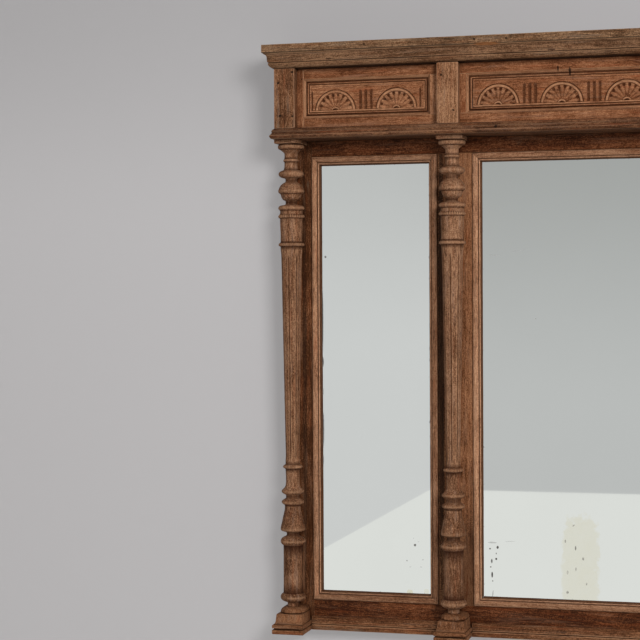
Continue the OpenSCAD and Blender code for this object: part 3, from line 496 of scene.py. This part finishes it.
# Carved fields: half rosettes and short flutes cut into a board. Sizes in mm.
carving = {"radius": 39.5, "ring": 4.4, "groove": 1.8, "innerGroove": 1.3, "petals": 9, "boss": 7.6,
           "foot": 978.0, "bed": 1.0, "flute": 5.4, "flutePitch": 10.2, "fluteTop": 1013.0, "endFlute": 102.9,
           "bottom": 975.65, "top": 1027.35, "border": 4.2, "front": -75.5, "back": -67.5, "grid": 0.7}
# centre, width, and where the rosettes stand from the centre
fieldsOf = {left: (-475.6, 219.7, (-60.2, 55.8)), centre: (0.0, 554.5, (-231.0, -115.5, 0.0, 115.5, 231.0)),
            right: (475.6, 219.7, (-55.8, 60.2))}


def hump(t):
    return math.sqrt(max(0.0, 1.0 - t * t))


def rosette(dx, dz, seed):
    # height over the field, wear, and dirt with painted shade in the cuts, at a point of a half rosette
    c = carving
    r = math.hypot(dx, dz)
    rim = c["radius"] - c["groove"]
    bead = rim - c["ring"]
    inside = bead - c["innerGroove"]
    smudge = noise.noise(Vector((dx * 0.13, dz * 0.13, seed)))
    if r > c["radius"]:
        return 0.0, 0.0, 0.0
    if r > rim:
        t = (r - rim - c["groove"] / 2) / (c["groove"] / 2)
        return -1.9 * hump(t), 0.0, 0.7 + 0.2 * smudge
    if r > bead:
        t = (r - bead - c["ring"] / 2) / (c["ring"] / 2)
        return 1.0 * hump(t) - 0.1, 0.9 * hump(t), 0.0
    if r > inside:
        return -1.2, 0.0, 0.55 + 0.3 * smudge
    turn = math.degrees(math.atan2(dz, dx)) / (180.0 / c["petals"])
    side = (turn - math.floor(turn) - 0.5) * 2.0
    if r < c["boss"]:
        if math.hypot(dx / 5.6, (dz - 0.2) / 4.0) < 1:
            return -2.3, 0.0, 0.95
        return 0.9 * hump(r / c["boss"] * 0.9), 0.8, 0.0
    halfArc = r * math.pi / c["petals"] / 2
    fromSeam = (1 - abs(side)) * halfArc
    nearRim = math.hypot(fromSeam, (inside - 1.8 - r) * 0.7)
    level = -c["bed"] - 0.9 + 1.6 * min(1.0, fromSeam / 3.0) ** 0.7
    seam = max(0.0, 1 - fromSeam / 1.5) * (0.35 + 0.4 * (r - c["boss"]) / (inside - c["boss"]))
    dirtAndShade = seam * (0.75 + 0.9 * smudge) + max(0.0, 0.55 * smudge)
    if nearRim < 2.5 + smudge:
        level, dirtAndShade = -2.5, 0.8 + 0.2 * smudge
    near = max(0.0, 1 - (r - c["boss"]) / 2.0)
    level -= near
    dirtAndShade = min(1.0, max(dirtAndShade, 0.5 * near))
    return level, 0.3 if fromSeam > 1.8 and dirtAndShade < 0.15 else 0.0, dirtAndShade


def carved(x, z, middles, halfWidth):
    # height over the field, wear, and dirt with painted shade in the cuts; a thin raised border runs round the
    # field
    c = carving
    inward = min(halfWidth - abs(x), z - c["bottom"], c["top"] - z)
    if inward < c["border"]:
        lift = hump((inward - c["border"] / 2) / 1.35)
        low = z < c["foot"] + 1.5
        return (1.3 if low else 0.8) * lift, (0.9 if low else 0.35) * lift, 0.0 if lift > 0.25 else 0.5
    for middle in middles:
        if abs(x - middle) < c["radius"] and z >= c["foot"]:
            height, wear, dirtAndShade = rosette(x - middle, z - c["foot"], middle)
            if (height, wear, dirtAndShade) != (0.0, 0.0, 0.0):
                return height, wear, dirtAndShade
    flutes = [(a + b) / 2 + k * c["flutePitch"] for a, b in zip(middles, middles[1:]) for k in (-1, 0, 1)]
    flutes = [(at, c["flute"] / 2) for at in flutes]
    if halfWidth < 200:
        between = (middles[0] + middles[-1]) / 2
        flutes += [(between - c["endFlute"], 1.9), (between + c["endFlute"], 1.9)]
    for at, half in flutes:
        if abs(x - at) < half:
            t = math.hypot(x - at, max(0.0, z - c["fluteTop"])) / half
            if t < 1:
                return -2.2 * hump(t), 0.0, 0.35 + 0.35 * hump(t)
    return 0.0, 0.0, 0.0


def carvedField(bay):
    middle, width, middles = fieldsOf[bay]
    bottom, top, front = carving["bottom"], carving["top"], carving["front"]
    columns, rows = round(width / carving["grid"]), round((top - bottom) / carving["grid"])
    bm = bmesh.new()
    bmesh.ops.create_grid(bm, x_segments=columns, y_segments=rows, size=0.5)
    mark = bm.loops.layers.float_color.new("mark")
    state = {}
    for vert in bm.verts:
        x, z = vert.co.x * width, bottom + (vert.co.y + 0.5) * (top - bottom)
        wobble = noise.noise(Vector((x, z, middle)) * 0.11) * 0.5
        height, wear, dirtAndShade = carved(x + wobble, z + wobble * 0.6, middles, width / 2)
        state[vert.index] = (wear, dirtAndShade)
        stray = noise.noise(Vector((x, z, middle)) * 0.16) * 0.18 + noise.noise(Vector((x, z, 9)) * 0.5) * 0.08
        vert.co = Vector(((middle + x) * mm, (front - height - stray) * mm, z * mm))
    for face in bm.faces:
        face.smooth = True
        for loop in face.loops:
            wear, dirtAndShade = state[loop.vert.index]
            loop[mark] = (wear, dirtAndShade, 0.0, 1.0)
    rim = [e for e in bm.edges if e.is_boundary]
    sides = bmesh.ops.extrude_edge_only(bm, edges=rim)["geom"]
    for vert in [g for g in sides if isinstance(g, bmesh.types.BMVert)]:
        vert.co.y = carving["back"] * mm
    bmesh.ops.holes_fill(bm, edges=[e for e in bm.edges if e.is_boundary], sides=0)
    bmesh.ops.recalc_face_normals(bm, faces=bm.faces)
    addPiece(f"frieze_panel_{bay}_carved", bm, [oak("frieze", "X")], f"frieze_panel_{bay}")


for bay in bays:
    carvedField(bay)
print("carved fields made")


# Turned columns. Heights and radii in mm, from the floor of the object upwards.
turning = {
    "footDowel": [(33.1, 7.0), (46.9, 7.0)], "headDowel": [(919.55, 7.0), (933.4, 7.0)],
    "low": [
        (47, 11.4), (49, 11.0), (54, 11.0), (55.4, 12.6), (56.6, 15.6), (58.2, 19.6), (60.2, 22.2), (62.6, 23.8),
        (65.4, 24.2), (68.2, 23.6), (70.4, 22.0), (72, 19.8), (73.2, 18.6), (90, 18.3), (104, 18.2), (140, 18.1),
        (162.6, 18.2), (163.6, 19.4), (165.4, 21.6), (168, 23.2), (171, 23.6), (174, 22.8), (176.8, 20.6),
        (179, 17), (180.6, 13), (182.4, 11.8), (186.4, 11.8), (188, 13.8), (189.2, 18), (190.6, 21.8),
        (192.4, 23.3), (195, 23.3), (197, 22.9), (200.8, 22.2), (204.6, 21.2), (208.4, 20.5), (212.2, 19.7),
        (216, 18.9), (219.8, 18), (223.6, 17.1), (227.4, 16.1), (231.2, 15.5), (236, 15.2), (239.2, 15.4),
        (240.6, 18), (242.2, 20.2), (244.2, 21.3), (246.4, 21), (248.6, 18.8), (250.4, 15.8), (251.8, 13.2),
        (256, 12.9), (258.4, 13.4), (259.8, 16.4), (261.4, 19.2), (263.4, 20.8), (265.6, 21), (267.6, 20),
        (269.6, 18), (272.4, 15.4), (276, 13.6), (283, 12.9), (292, 12.8), (300, 13.2), (307.4, 13.8),
        (308.6, 16.2), (309.8, 18), (311.6, 18.6), (313.4, 17.8), (315, 15.6), (316.2, 13.6)],
    "shaft": ((316.6, 13.3), (726.8, 20.3), 56),
    "high": [
        (727, 20.8), (727.6, 22.8), (729, 24.4), (731.2, 24.6), (732.8, 23.8), (733.8, 22.2), (734.8, 21),
        (738, 20.5), (745, 20.4), (752, 20.5), (760, 21), (770, 21.4), (778.6, 21.4), (780, 21.8), (780.8, 23.2),
        (782, 24.4), (783.6, 24.8), (785.2, 24.4), (786.2, 23.4), (787.2, 22.5), (788.2, 21.9), (789, 21.4),
        (790.5, 21.2), (792.5, 21.2), (794.6, 21.4), (795.6, 22.4), (796.8, 23.8), (798.4, 24.6), (800.4, 24.6),
        (802.4, 23.6), (804, 21.4), (804.9, 17.4), (805.6, 12.6), (807, 10.8), (810, 10.5), (812.4, 10.6),
        (813.4, 12), (814.6, 14.8), (816, 16.4), (818, 17.6), (820, 18.7), (822.4, 19.2), (824.4, 19.7),
        (825.8, 20.4), (826.8, 21.8), (828, 23.4), (829.6, 24.4), (831.4, 24.6), (833.2, 24.2), (835.4, 23.5),
        (837.4, 22.7), (839.4, 21.7), (841.4, 20.4), (843.4, 18.8), (845.2, 16.8), (846.8, 14.2), (848, 11.6),
        (850, 10.8), (854.2, 10.8), (855.4, 12), (856.2, 15.8), (857.4, 19.6), (859.2, 22), (861.6, 23.5),
        (864.4, 23.7), (866.6, 22.8), (868.4, 20.6), (869.8, 17.6), (870.8, 14.6), (872.4, 13.5), (877, 12.7),
        (882, 12.4), (886, 12.4), (887, 13.8), (888.9, 14.7), (890.8, 13.9), (891.8, 12.6), (896, 12.3),
        (900.6, 12.4), (903, 13), (904.6, 14.4), (906.4, 16.8), (908, 18.6), (909, 19.8), (909.8, 21.8),
        (911, 23.8), (913, 24.9), (915.4, 25), (917.4, 24.4), (918.8, 23), (919.5, 21.8)],
    "lines": 8, "lineHalf": 1.5, "lineDepth": 1.5, "lineFrom": 331.0, "lineTo": 709.0, "lineEnd": 3.0, "flat": 0.9,
    "notches": 32, "notchFrom": 781.4, "notchTo": 788.0,
    "rings": [65, 171, 193.5, 244.5, 264.8, 311.4, 730.2, 783.6, 799.4, 831, 863.5, 888.9, 914.6],
    "necks": [(73.4, 1.0), (162.8, 1.0), (184, 3.2), (239.2, 1.2), (254.5, 2.6), (307.6, 0.9), (316.8, 1.3),
              (726.6, 1.0), (734.8, 1.2), (779.8, 1.0), (795, 0.8), (809.4, 3.0), (825.8, 0.8), (851.5, 2.8),
              (871.4, 1.2), (886.4, 0.8), (892.2, 0.9), (902, 0.9), (909.2, 0.8)],
    "steps": 176,
}


def column(number):
    t = turning
    centreX = columnX[number - 1] / mm
    start, end, parts = t["shaft"]
    shaft = [(start[0] + (end[0] - start[0]) * k / parts, start[1] + (end[1] - start[1]) * k / parts)
             for k in range(1, parts)]
    profile = t["footDowel"] + t["low"] + shaft + t["high"] + t["headDowel"]
    bm = bmesh.new()
    verts = [bm.verts.new(((centreX + r) * mm, axisY, z * mm)) for z, r in profile]
    edges = [bm.edges.new(pair) for pair in zip(verts, verts[1:])]
    middle = Vector((centreX * mm, axisY, 0))
    bmesh.ops.spin(bm, geom=verts + edges, cent=middle, axis=(0, 0, 1), dvec=(0, 0, 0), angle=math.tau,
                   steps=t["steps"], use_merge=True)
    bmesh.ops.remove_doubles(bm, verts=bm.verts, dist=1e-6)
    bmesh.ops.holes_fill(bm, edges=[e for e in bm.edges if e.is_boundary], sides=0)
    bmesh.ops.recalc_face_normals(bm, faces=bm.faces)
    mark = bm.loops.layers.float_color.new("mark")
    state = {}
    for vert in bm.verts:
        flat = Vector((vert.co.x - middle.x, vert.co.y - middle.y))
        r, z = flat.length / mm, vert.co.z / mm
        angle = math.atan2(flat.y, flat.x)
        cutIn, worn, dirtAndShade = 0.0, 0.0, 0.0
        if start[0] < z < end[0] and r > 10:
            # broad flats parted by narrow cut lines, ending in small arches; the lines get dirt and painted shade
            turn = (angle / math.tau * t["lines"] + 0.5) % 1.0 - 0.5
            dx = abs(turn) * math.tau * r / t["lines"]
            half = math.pi * r / t["lines"]
            past = max(0.0, t["lineFrom"] - z, z - t["lineTo"])
            inFlat = math.hypot(half - dx, past) / half
            if inFlat < 1:
                cutIn = t["flat"] * (1 - inFlat ** 2)
            if dx < t["lineHalf"] and past < t["lineEnd"]:
                share = dx / t["lineHalf"]
                cutIn = max(cutIn, t["lineDepth"] * (1 - share) * (1 - past / t["lineEnd"]))
                dirtAndShade = 0.8 * (1 - share) * (1 - past / t["lineEnd"])
            elif dx < t["lineHalf"] * 2.0:
                worn = 0.6
        if t["notchFrom"] < z < t["notchTo"] and r > 10:
            turn = abs(((angle / math.tau * t["notches"]) % 1.0) - 0.5) * 2
            share = turn * 1.5 + (t["notchTo"] - z) / (t["notchTo"] - t["notchFrom"]) * 0.75
            if share < 1:
                cutIn = max(cutIn, 2.2 * (1 - share) + 0.4)
                dirtAndShade = 0.65
        if r > 10:
            stray = noise.noise(Vector((vert.co.x * 90, vert.co.y * 90, z * 0.09 + number * 31)))
            stray = stray * 0.22 + noise.noise(Vector((vert.co.x * 300, vert.co.y * 300, z * 0.3))) * 0.08
            flat *= (r - cutIn + stray) / r
            vert.co.x, vert.co.y = middle.x + flat.x, middle.y + flat.y
        state[vert.index] = (worn, dirtAndShade)
    bm.verts.index_update()
    for face in bm.faces:
        face.smooth = True
        for loop in face.loops:
            worn, dirtAndShade = state.get(loop.vert.index, (0, 0))
            z = loop.vert.co.z / mm
            for at in t["rings"]:
                worn = max(worn, 0.8 * (1 - abs(z - at) / 3.0))
            # dirt and painted shade in the necks
            for at, reach in t["necks"]:
                dirtAndShade = max(dirtAndShade, 1.1 * (1 - abs(z - at) / (reach * 1.5)))
            loop[mark] = (max(0.0, worn), min(1.0, max(0.0, dirtAndShade)), 0.0, 1.0)
    addPiece(f"column_{number}_turned", bm, [oak("column", "Z")], f"column_{number}")


for number in (1, 2, 3, 4):
    column(number)
print("columns turned")


# Old silvered panes. Marks: (x, z, half width, half height, turn in degrees, darkness), in mm.
paneMarks = {
    left: [(-400.1, 165.2, 2.6, 2.6, 0, 0.85), (-415.6, 135.4, 1.3, 1.3, 0, 0.7),
           (-384.9, 138.0, 1.8, 1.4, 20, 0.3), (-388.6, 124.3, 2.2, 1.4, 0, 0.22),
           (-409.4, 123.8, 2.4, 1.4, 0, 0.2), (-402.5, 178.0, 1.4, 1.0, 0, 0.2),
           (-393.5, 171.5, 1.6, 1.2, 0, 0.2), (-571.2, 707.6, 2.2, 2.4, 0, 0.8),
           (-577.4, 590.0, 1.6, 62.0, 0, 0.85), (-577.0, 508.0, 1.8, 9.0, 0, 0.8),
           (-577.4, 452.0, 1.3, 7.0, 0, 0.6), (-577.0, 380.0, 1.8, 34.0, 0, 0.8),
           (-577.2, 322.0, 1.3, 10.0, 0, 0.6)],
    centre: [(-258.0, 163.0, 1.8, 1.8, 0, 0.8), (-243.8, 166.0, 2.3, 2.9, 0, 0.95),
             (-246.4, 154.6, 1.2, 2.0, 0, 0.7), (-246.4, 144.4, 2.0, 2.2, 0, 0.95),
             (-254.8, 140.4, 1.5, 4.6, 0, 0.9), (-256.6, 129.2, 1.5, 1.5, 0, 0.8),
             (-254.2, 114.8, 1.8, 5.6, 0, 0.95), (-253.2, 103.2, 1.3, 1.5, 0, 0.8),
             (-253.0, 80.0, 1.0, 6.5, -8, 0.55), (-253.6, 174.6, 8.5, 1.5, 0, 0.4),
             (-221.0, 177.6, 11.0, 0.7, 5, 0.28), (-103.6, 210.6, 2.6, 1.4, 35, 0.5),
             (-118.6, 181.4, 1.4, 3.2, 0, 0.55), (-99.8, 169.2, 1.4, 4.6, 0, 0.75),
             (-114.6, 124.0, 1.8, 4.2, 0, 0.35), (-114.8, 87.4, 2.6, 2.8, 0, 0.6),
             (-99.4, 130.6, 1.2, 3.6, 0, 0.6), (-86.0, 150.0, 2.0, 3.0, 0, 0.6),
             (-80.0, 104.0, 1.6, 2.6, 0, 0.5), (-248.6, 707.4, 13.0, 0.6, 0, 0.45),
             (-203.0, 715.6, 16.5, 0.6, 10, 0.32), (-171.6, 589.2, 1.3, 1.3, 0, 0.6)],
    right: [(402.0, 118.0, 2.2, 2.4, 0, 0.8), (411.0, 143.0, 1.2, 1.6, 0, 0.7),
            (548.0, 96.0, 2.0, 3.4, 10, 0.7), (556.0, 121.0, 1.4, 1.4, 0, 0.6),
            (388.0, 96.0, 1.6, 2.2, 0, 0.5)],
}
# the window of the panes that the mouldings leave open, in metres
paneWindow = {"halfX": {left: 0.104, centre: 0.270, right: 0.104}, "middleZ": 0.477, "halfZ": 0.403}
# yellowed patches: (x, z, half width, half height, how yellow)
paneStains = {left: [(-410.0, 74.5, 6.4, 6.8, 1.0), (-378.0, 76.0, 5.0, 7.0, 0.55)],
              centre: [(-91.0, 142.0, 34.0, 90.0, 0.6)], right: [(548.0, 84.0, 16.0, 26.0, 0.5)]}


def silverFinish(bay, middle):
    f = Finish(f"old_silver_{bay}")
    place = f.place()
    x, y, z = f.split(place)
    haze = f.cloud(place, 6.0, 3.0, 0.6)
    ragged = f.cloud(place, 420.0, 3.0, 0.7) - 0.5
    fine = f.cloud(place, 60.0, 4.0, 0.65)
    dark = 0.0
    for atX, atZ, halfW, halfH, turn, depth in paneMarks[bay]:
        c, sn = math.cos(math.radians(turn)), math.sin(math.radians(turn))
        dx, dz = x - atX * mm, z - atZ * mm
        away = ((dx * c + dz * sn) / (halfW * mm)) ** 2 + ((dz * c - dx * sn) / (halfH * mm)) ** 2
        spot = (away + ragged * 1.3).step(1.25, 0.45) * depth
        dark = spot if isinstance(dark, float) else dark.most(spot)
    # a dark band along the open window's edge: silver rot, and painted shade under the moulding's lip
    edge = (abs(x - middle) - paneWindow["halfX"][bay]).most(abs(z - paneWindow["middleZ"]) - paneWindow["halfZ"])
    rimRotAndShade = f.cloud(f.join(x * 260.0, y, z * 90.0), 1.0, 4.0, 0.7)
    dark = dark.most((edge + (rimRotAndShade - 0.66) * 0.03).step(-0.003, 0.0) * 0.8)
    yellow = 0.0
    for atX, atZ, halfW, halfH, depth in paneStains[bay]:
        away = ((x - atX * mm) / (halfW * mm)) ** 4 + ((z - atZ * mm) / (halfH * mm)) ** 4
        patch = (away + (fine - 0.5) * 3.0).step(1.2, 0.5) * depth
        yellow = patch if isinstance(yellow, float) else yellow.most(patch)
    colour = f.mix(haze, linear((250, 251, 250)), linear((246, 247, 246)))
    colour = f.mix(yellow * (0.55 + fine * 0.5), colour, linear((240, 234, 212)))
    colour = f.mix(dark, colour, linear((44, 38, 30)))
    rough = 0.01 + haze * 0.012 + dark * 0.3 + yellow * 0.06
    return f.surface({"Base Color": colour, "Metallic": 1.0 - dark * 0.8, "Roughness": rough})


for bay, middle in bays.items():
    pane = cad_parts[f"mirror_{bay}"].data
    pane.materials.clear()
    pane.materials.append(silverFinish(bay, middle))
print("panes silvered")


# Hangers
def ironFinish(name):
    f = Finish(name)
    place = f.place()
    patina = f.cloud(place, 160.0, 4.0, 0.65)
    rust = f.cloud(place, 70.0, 4.0, 0.7).step(0.52, 0.66)
    colour = f.mix(patina, linear((62, 60, 58)), linear((104, 100, 95)))
    colour = f.mix(rust * 0.8, colour, linear((96, 58, 36)))
    bump = f.node("ShaderNodeBump", None, {"Strength": 0.4, "Distance": 0.0003, "Height": patina + rust * 0.5})
    return f.surface({"Base Color": colour, "Metallic": 0.85 - rust * 0.6, "Roughness": 0.42 + rust * 0.35,
                      "Normal": bump})


iron = ironFinish("hanger_iron")
for name in ("hanger_plates", "hanging_ring_left", "hanging_ring_right", "hanger_screws"):
    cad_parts[name].data.materials.clear()
    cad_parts[name].data.materials.append(iron)


# Stage: wall, floor, and a plain room that only reflections see
def stagePlane(name, corners, material, onlyGlossy=False):
    bm = bmesh.new()
    bm.faces.new([bm.verts.new(c) for c in corners])
    mesh = bpy.data.meshes.new(name)
    bm.to_mesh(mesh)
    bm.free()
    mesh.materials.append(material)
    plane = bpy.data.objects.new(name, mesh)
    bpy.context.scene.collection.objects.link(plane)
    if onlyGlossy:
        plane.visible_camera = plane.visible_diffuse = plane.visible_shadow = False
        plane.visible_transmission = plane.visible_volume_scatter = False
    return plane


def wallFinish(name, low, high, share=0.45):
    # share: how much of the wall's own plain tone the camera sees, which softens the shadows on it
    f = Finish(name)
    z = f.split(f.place())[2]
    # painted shade: the wall darkens from its low tone to its high one between 0.75 and 1.25 m
    colour = f.mix(z.step(0.75, 1.25), linear(low), linear(high))
    plaster = f.node("ShaderNodeBsdfDiffuse", None, {"Color": colour})
    clear = f.node("ShaderNodeBsdfTransparent")
    behind = f.node("ShaderNodeNewGeometry", out="Backfacing")
    unseen = behind.most(f.node("ShaderNodeLightPath", out="Is Shadow Ray"))
    plain = f.node("ShaderNodeEmission", None, {"Color": colour, "Strength": 1.0})
    seen = f.node("ShaderNodeLightPath", out="Is Camera Ray")
    seen = seen.most(f.node("ShaderNodeLightPath", out="Is Glossy Ray"))
    seen = seen.most(f.node("ShaderNodeLightPath", out="Is Transmission Ray")) * share
    painted = f.node("ShaderNodeMixShader", None, {0: seen, 1: plaster, 2: plain})
    mixed = f.node("ShaderNodeMixShader", None, {0: unseen, 1: painted, 2: clear})
    f.links.new(mixed.socket, f.output.inputs["Surface"])
    return f.material


def floorFinish(name, colour):
    f = Finish(name)
    return f.surface({"Base Color": linear(colour), "Roughness": 0.9})


def glowFinish(name, low, high, lowZ, highZ):
    # a plain tone that eases from low to high between two heights
    f = Finish(name)
    z = f.split(f.place())[2]
    colour = f.mix(z.step(lowZ, highZ), linear(low), linear(high))
    glow = f.node("ShaderNodeEmission", None, {"Color": colour, "Strength": 1.0})
    f.links.new(glow.socket, f.output.inputs["Surface"])
    return f.material


room = {"floor": -0.45, "ceiling": 3.2, "left": -1.64, "right": 6.0, "far": -6.29, "near": 0.02}
wallPaintAndShade, floorPaint = ((182, 180, 181), (167, 165, 166)), (214, 212, 208)


def roomPlane(name, finish, *corners):
    stagePlane(name, [[room[side] for side in corner.split()] for corner in corners], finish, True)


stagePlane("wall", [(-6, 0.002, -0.45), (6, 0.002, -0.45), (6, 0.002, 4), (-6, 0.002, 4)],
           wallFinish("wall_paint", *wallPaintAndShade))
floorPlane = stagePlane("floor", [(-6, -7, -0.45), (6, -7, -0.45), (6, 4, -0.45), (-6, 4, -0.45)],
                        floorFinish("floor_paint", floorPaint))
floorPlane.visible_glossy = False
farFinish = glowFinish("room_far", (190, 192, 191), (160, 162, 160), -0.1, 1.9)
sideFinish = glowFinish("room_side", (206, 208, 207), (187, 189, 188), 0.3, 1.6)
groundFinish = glowFinish("room_ground", (223, 225, 221), (223, 225, 221), -1, 1)
roomPlane("room_far", farFinish, "left far floor", "right far floor", "right far ceiling", "left far ceiling")
for side in (left, right):
    roomPlane(f"room_{side}", sideFinish, f"{side} far floor", f"{side} near floor", f"{side} near ceiling",
              f"{side} far ceiling")
roomPlane("room_ground", groundFinish, "left far floor", "right far floor", "right near floor", "left near floor")
print("stage set")


# Soft square lamps: place and aim in metres, the length of a side, and watts
lamps = {
    "key": {"place": (1.45, -3.0, 1.75), "aim": (-0.1, 0, 0.6), "side": 1.1, "power": 108},
    "fill": {"place": (-2.2, -3.4, 1.2), "aim": (0, 0, 0.5), "side": 2.6, "power": 17},
    "behind": {"place": (0.8, 3.0, 2.0), "aim": (0, 0, 0.6), "side": 2.0, "power": 75},
}
worldTone, worldStrength = (199, 198, 196), 0.66
for name, values in lamps.items():
    lamp = bpy.data.objects.new(name, bpy.data.lights.new(name, "AREA"))
    lamp.data.shape = "RECTANGLE"
    lamp.data.size = lamp.data.size_y = values["side"]
    lamp.data.energy = values["power"]
    lamp.location = values["place"]
    lamp.rotation_mode = "QUATERNION"
    lamp.rotation_quaternion = (Vector(values["aim"]) - Vector(values["place"])).to_track_quat("-Z", "Y")
    lamp.visible_glossy = False      # the panes would show it
    bpy.context.scene.collection.objects.link(lamp)
world = bpy.data.worlds.new("studio")
world.use_nodes = True
world.node_tree.nodes["Background"].inputs["Color"].default_value = linear(worldTone)
world.node_tree.nodes["Background"].inputs["Strength"].default_value = worldStrength
bpy.context.scene.world = world
print("lamps set")
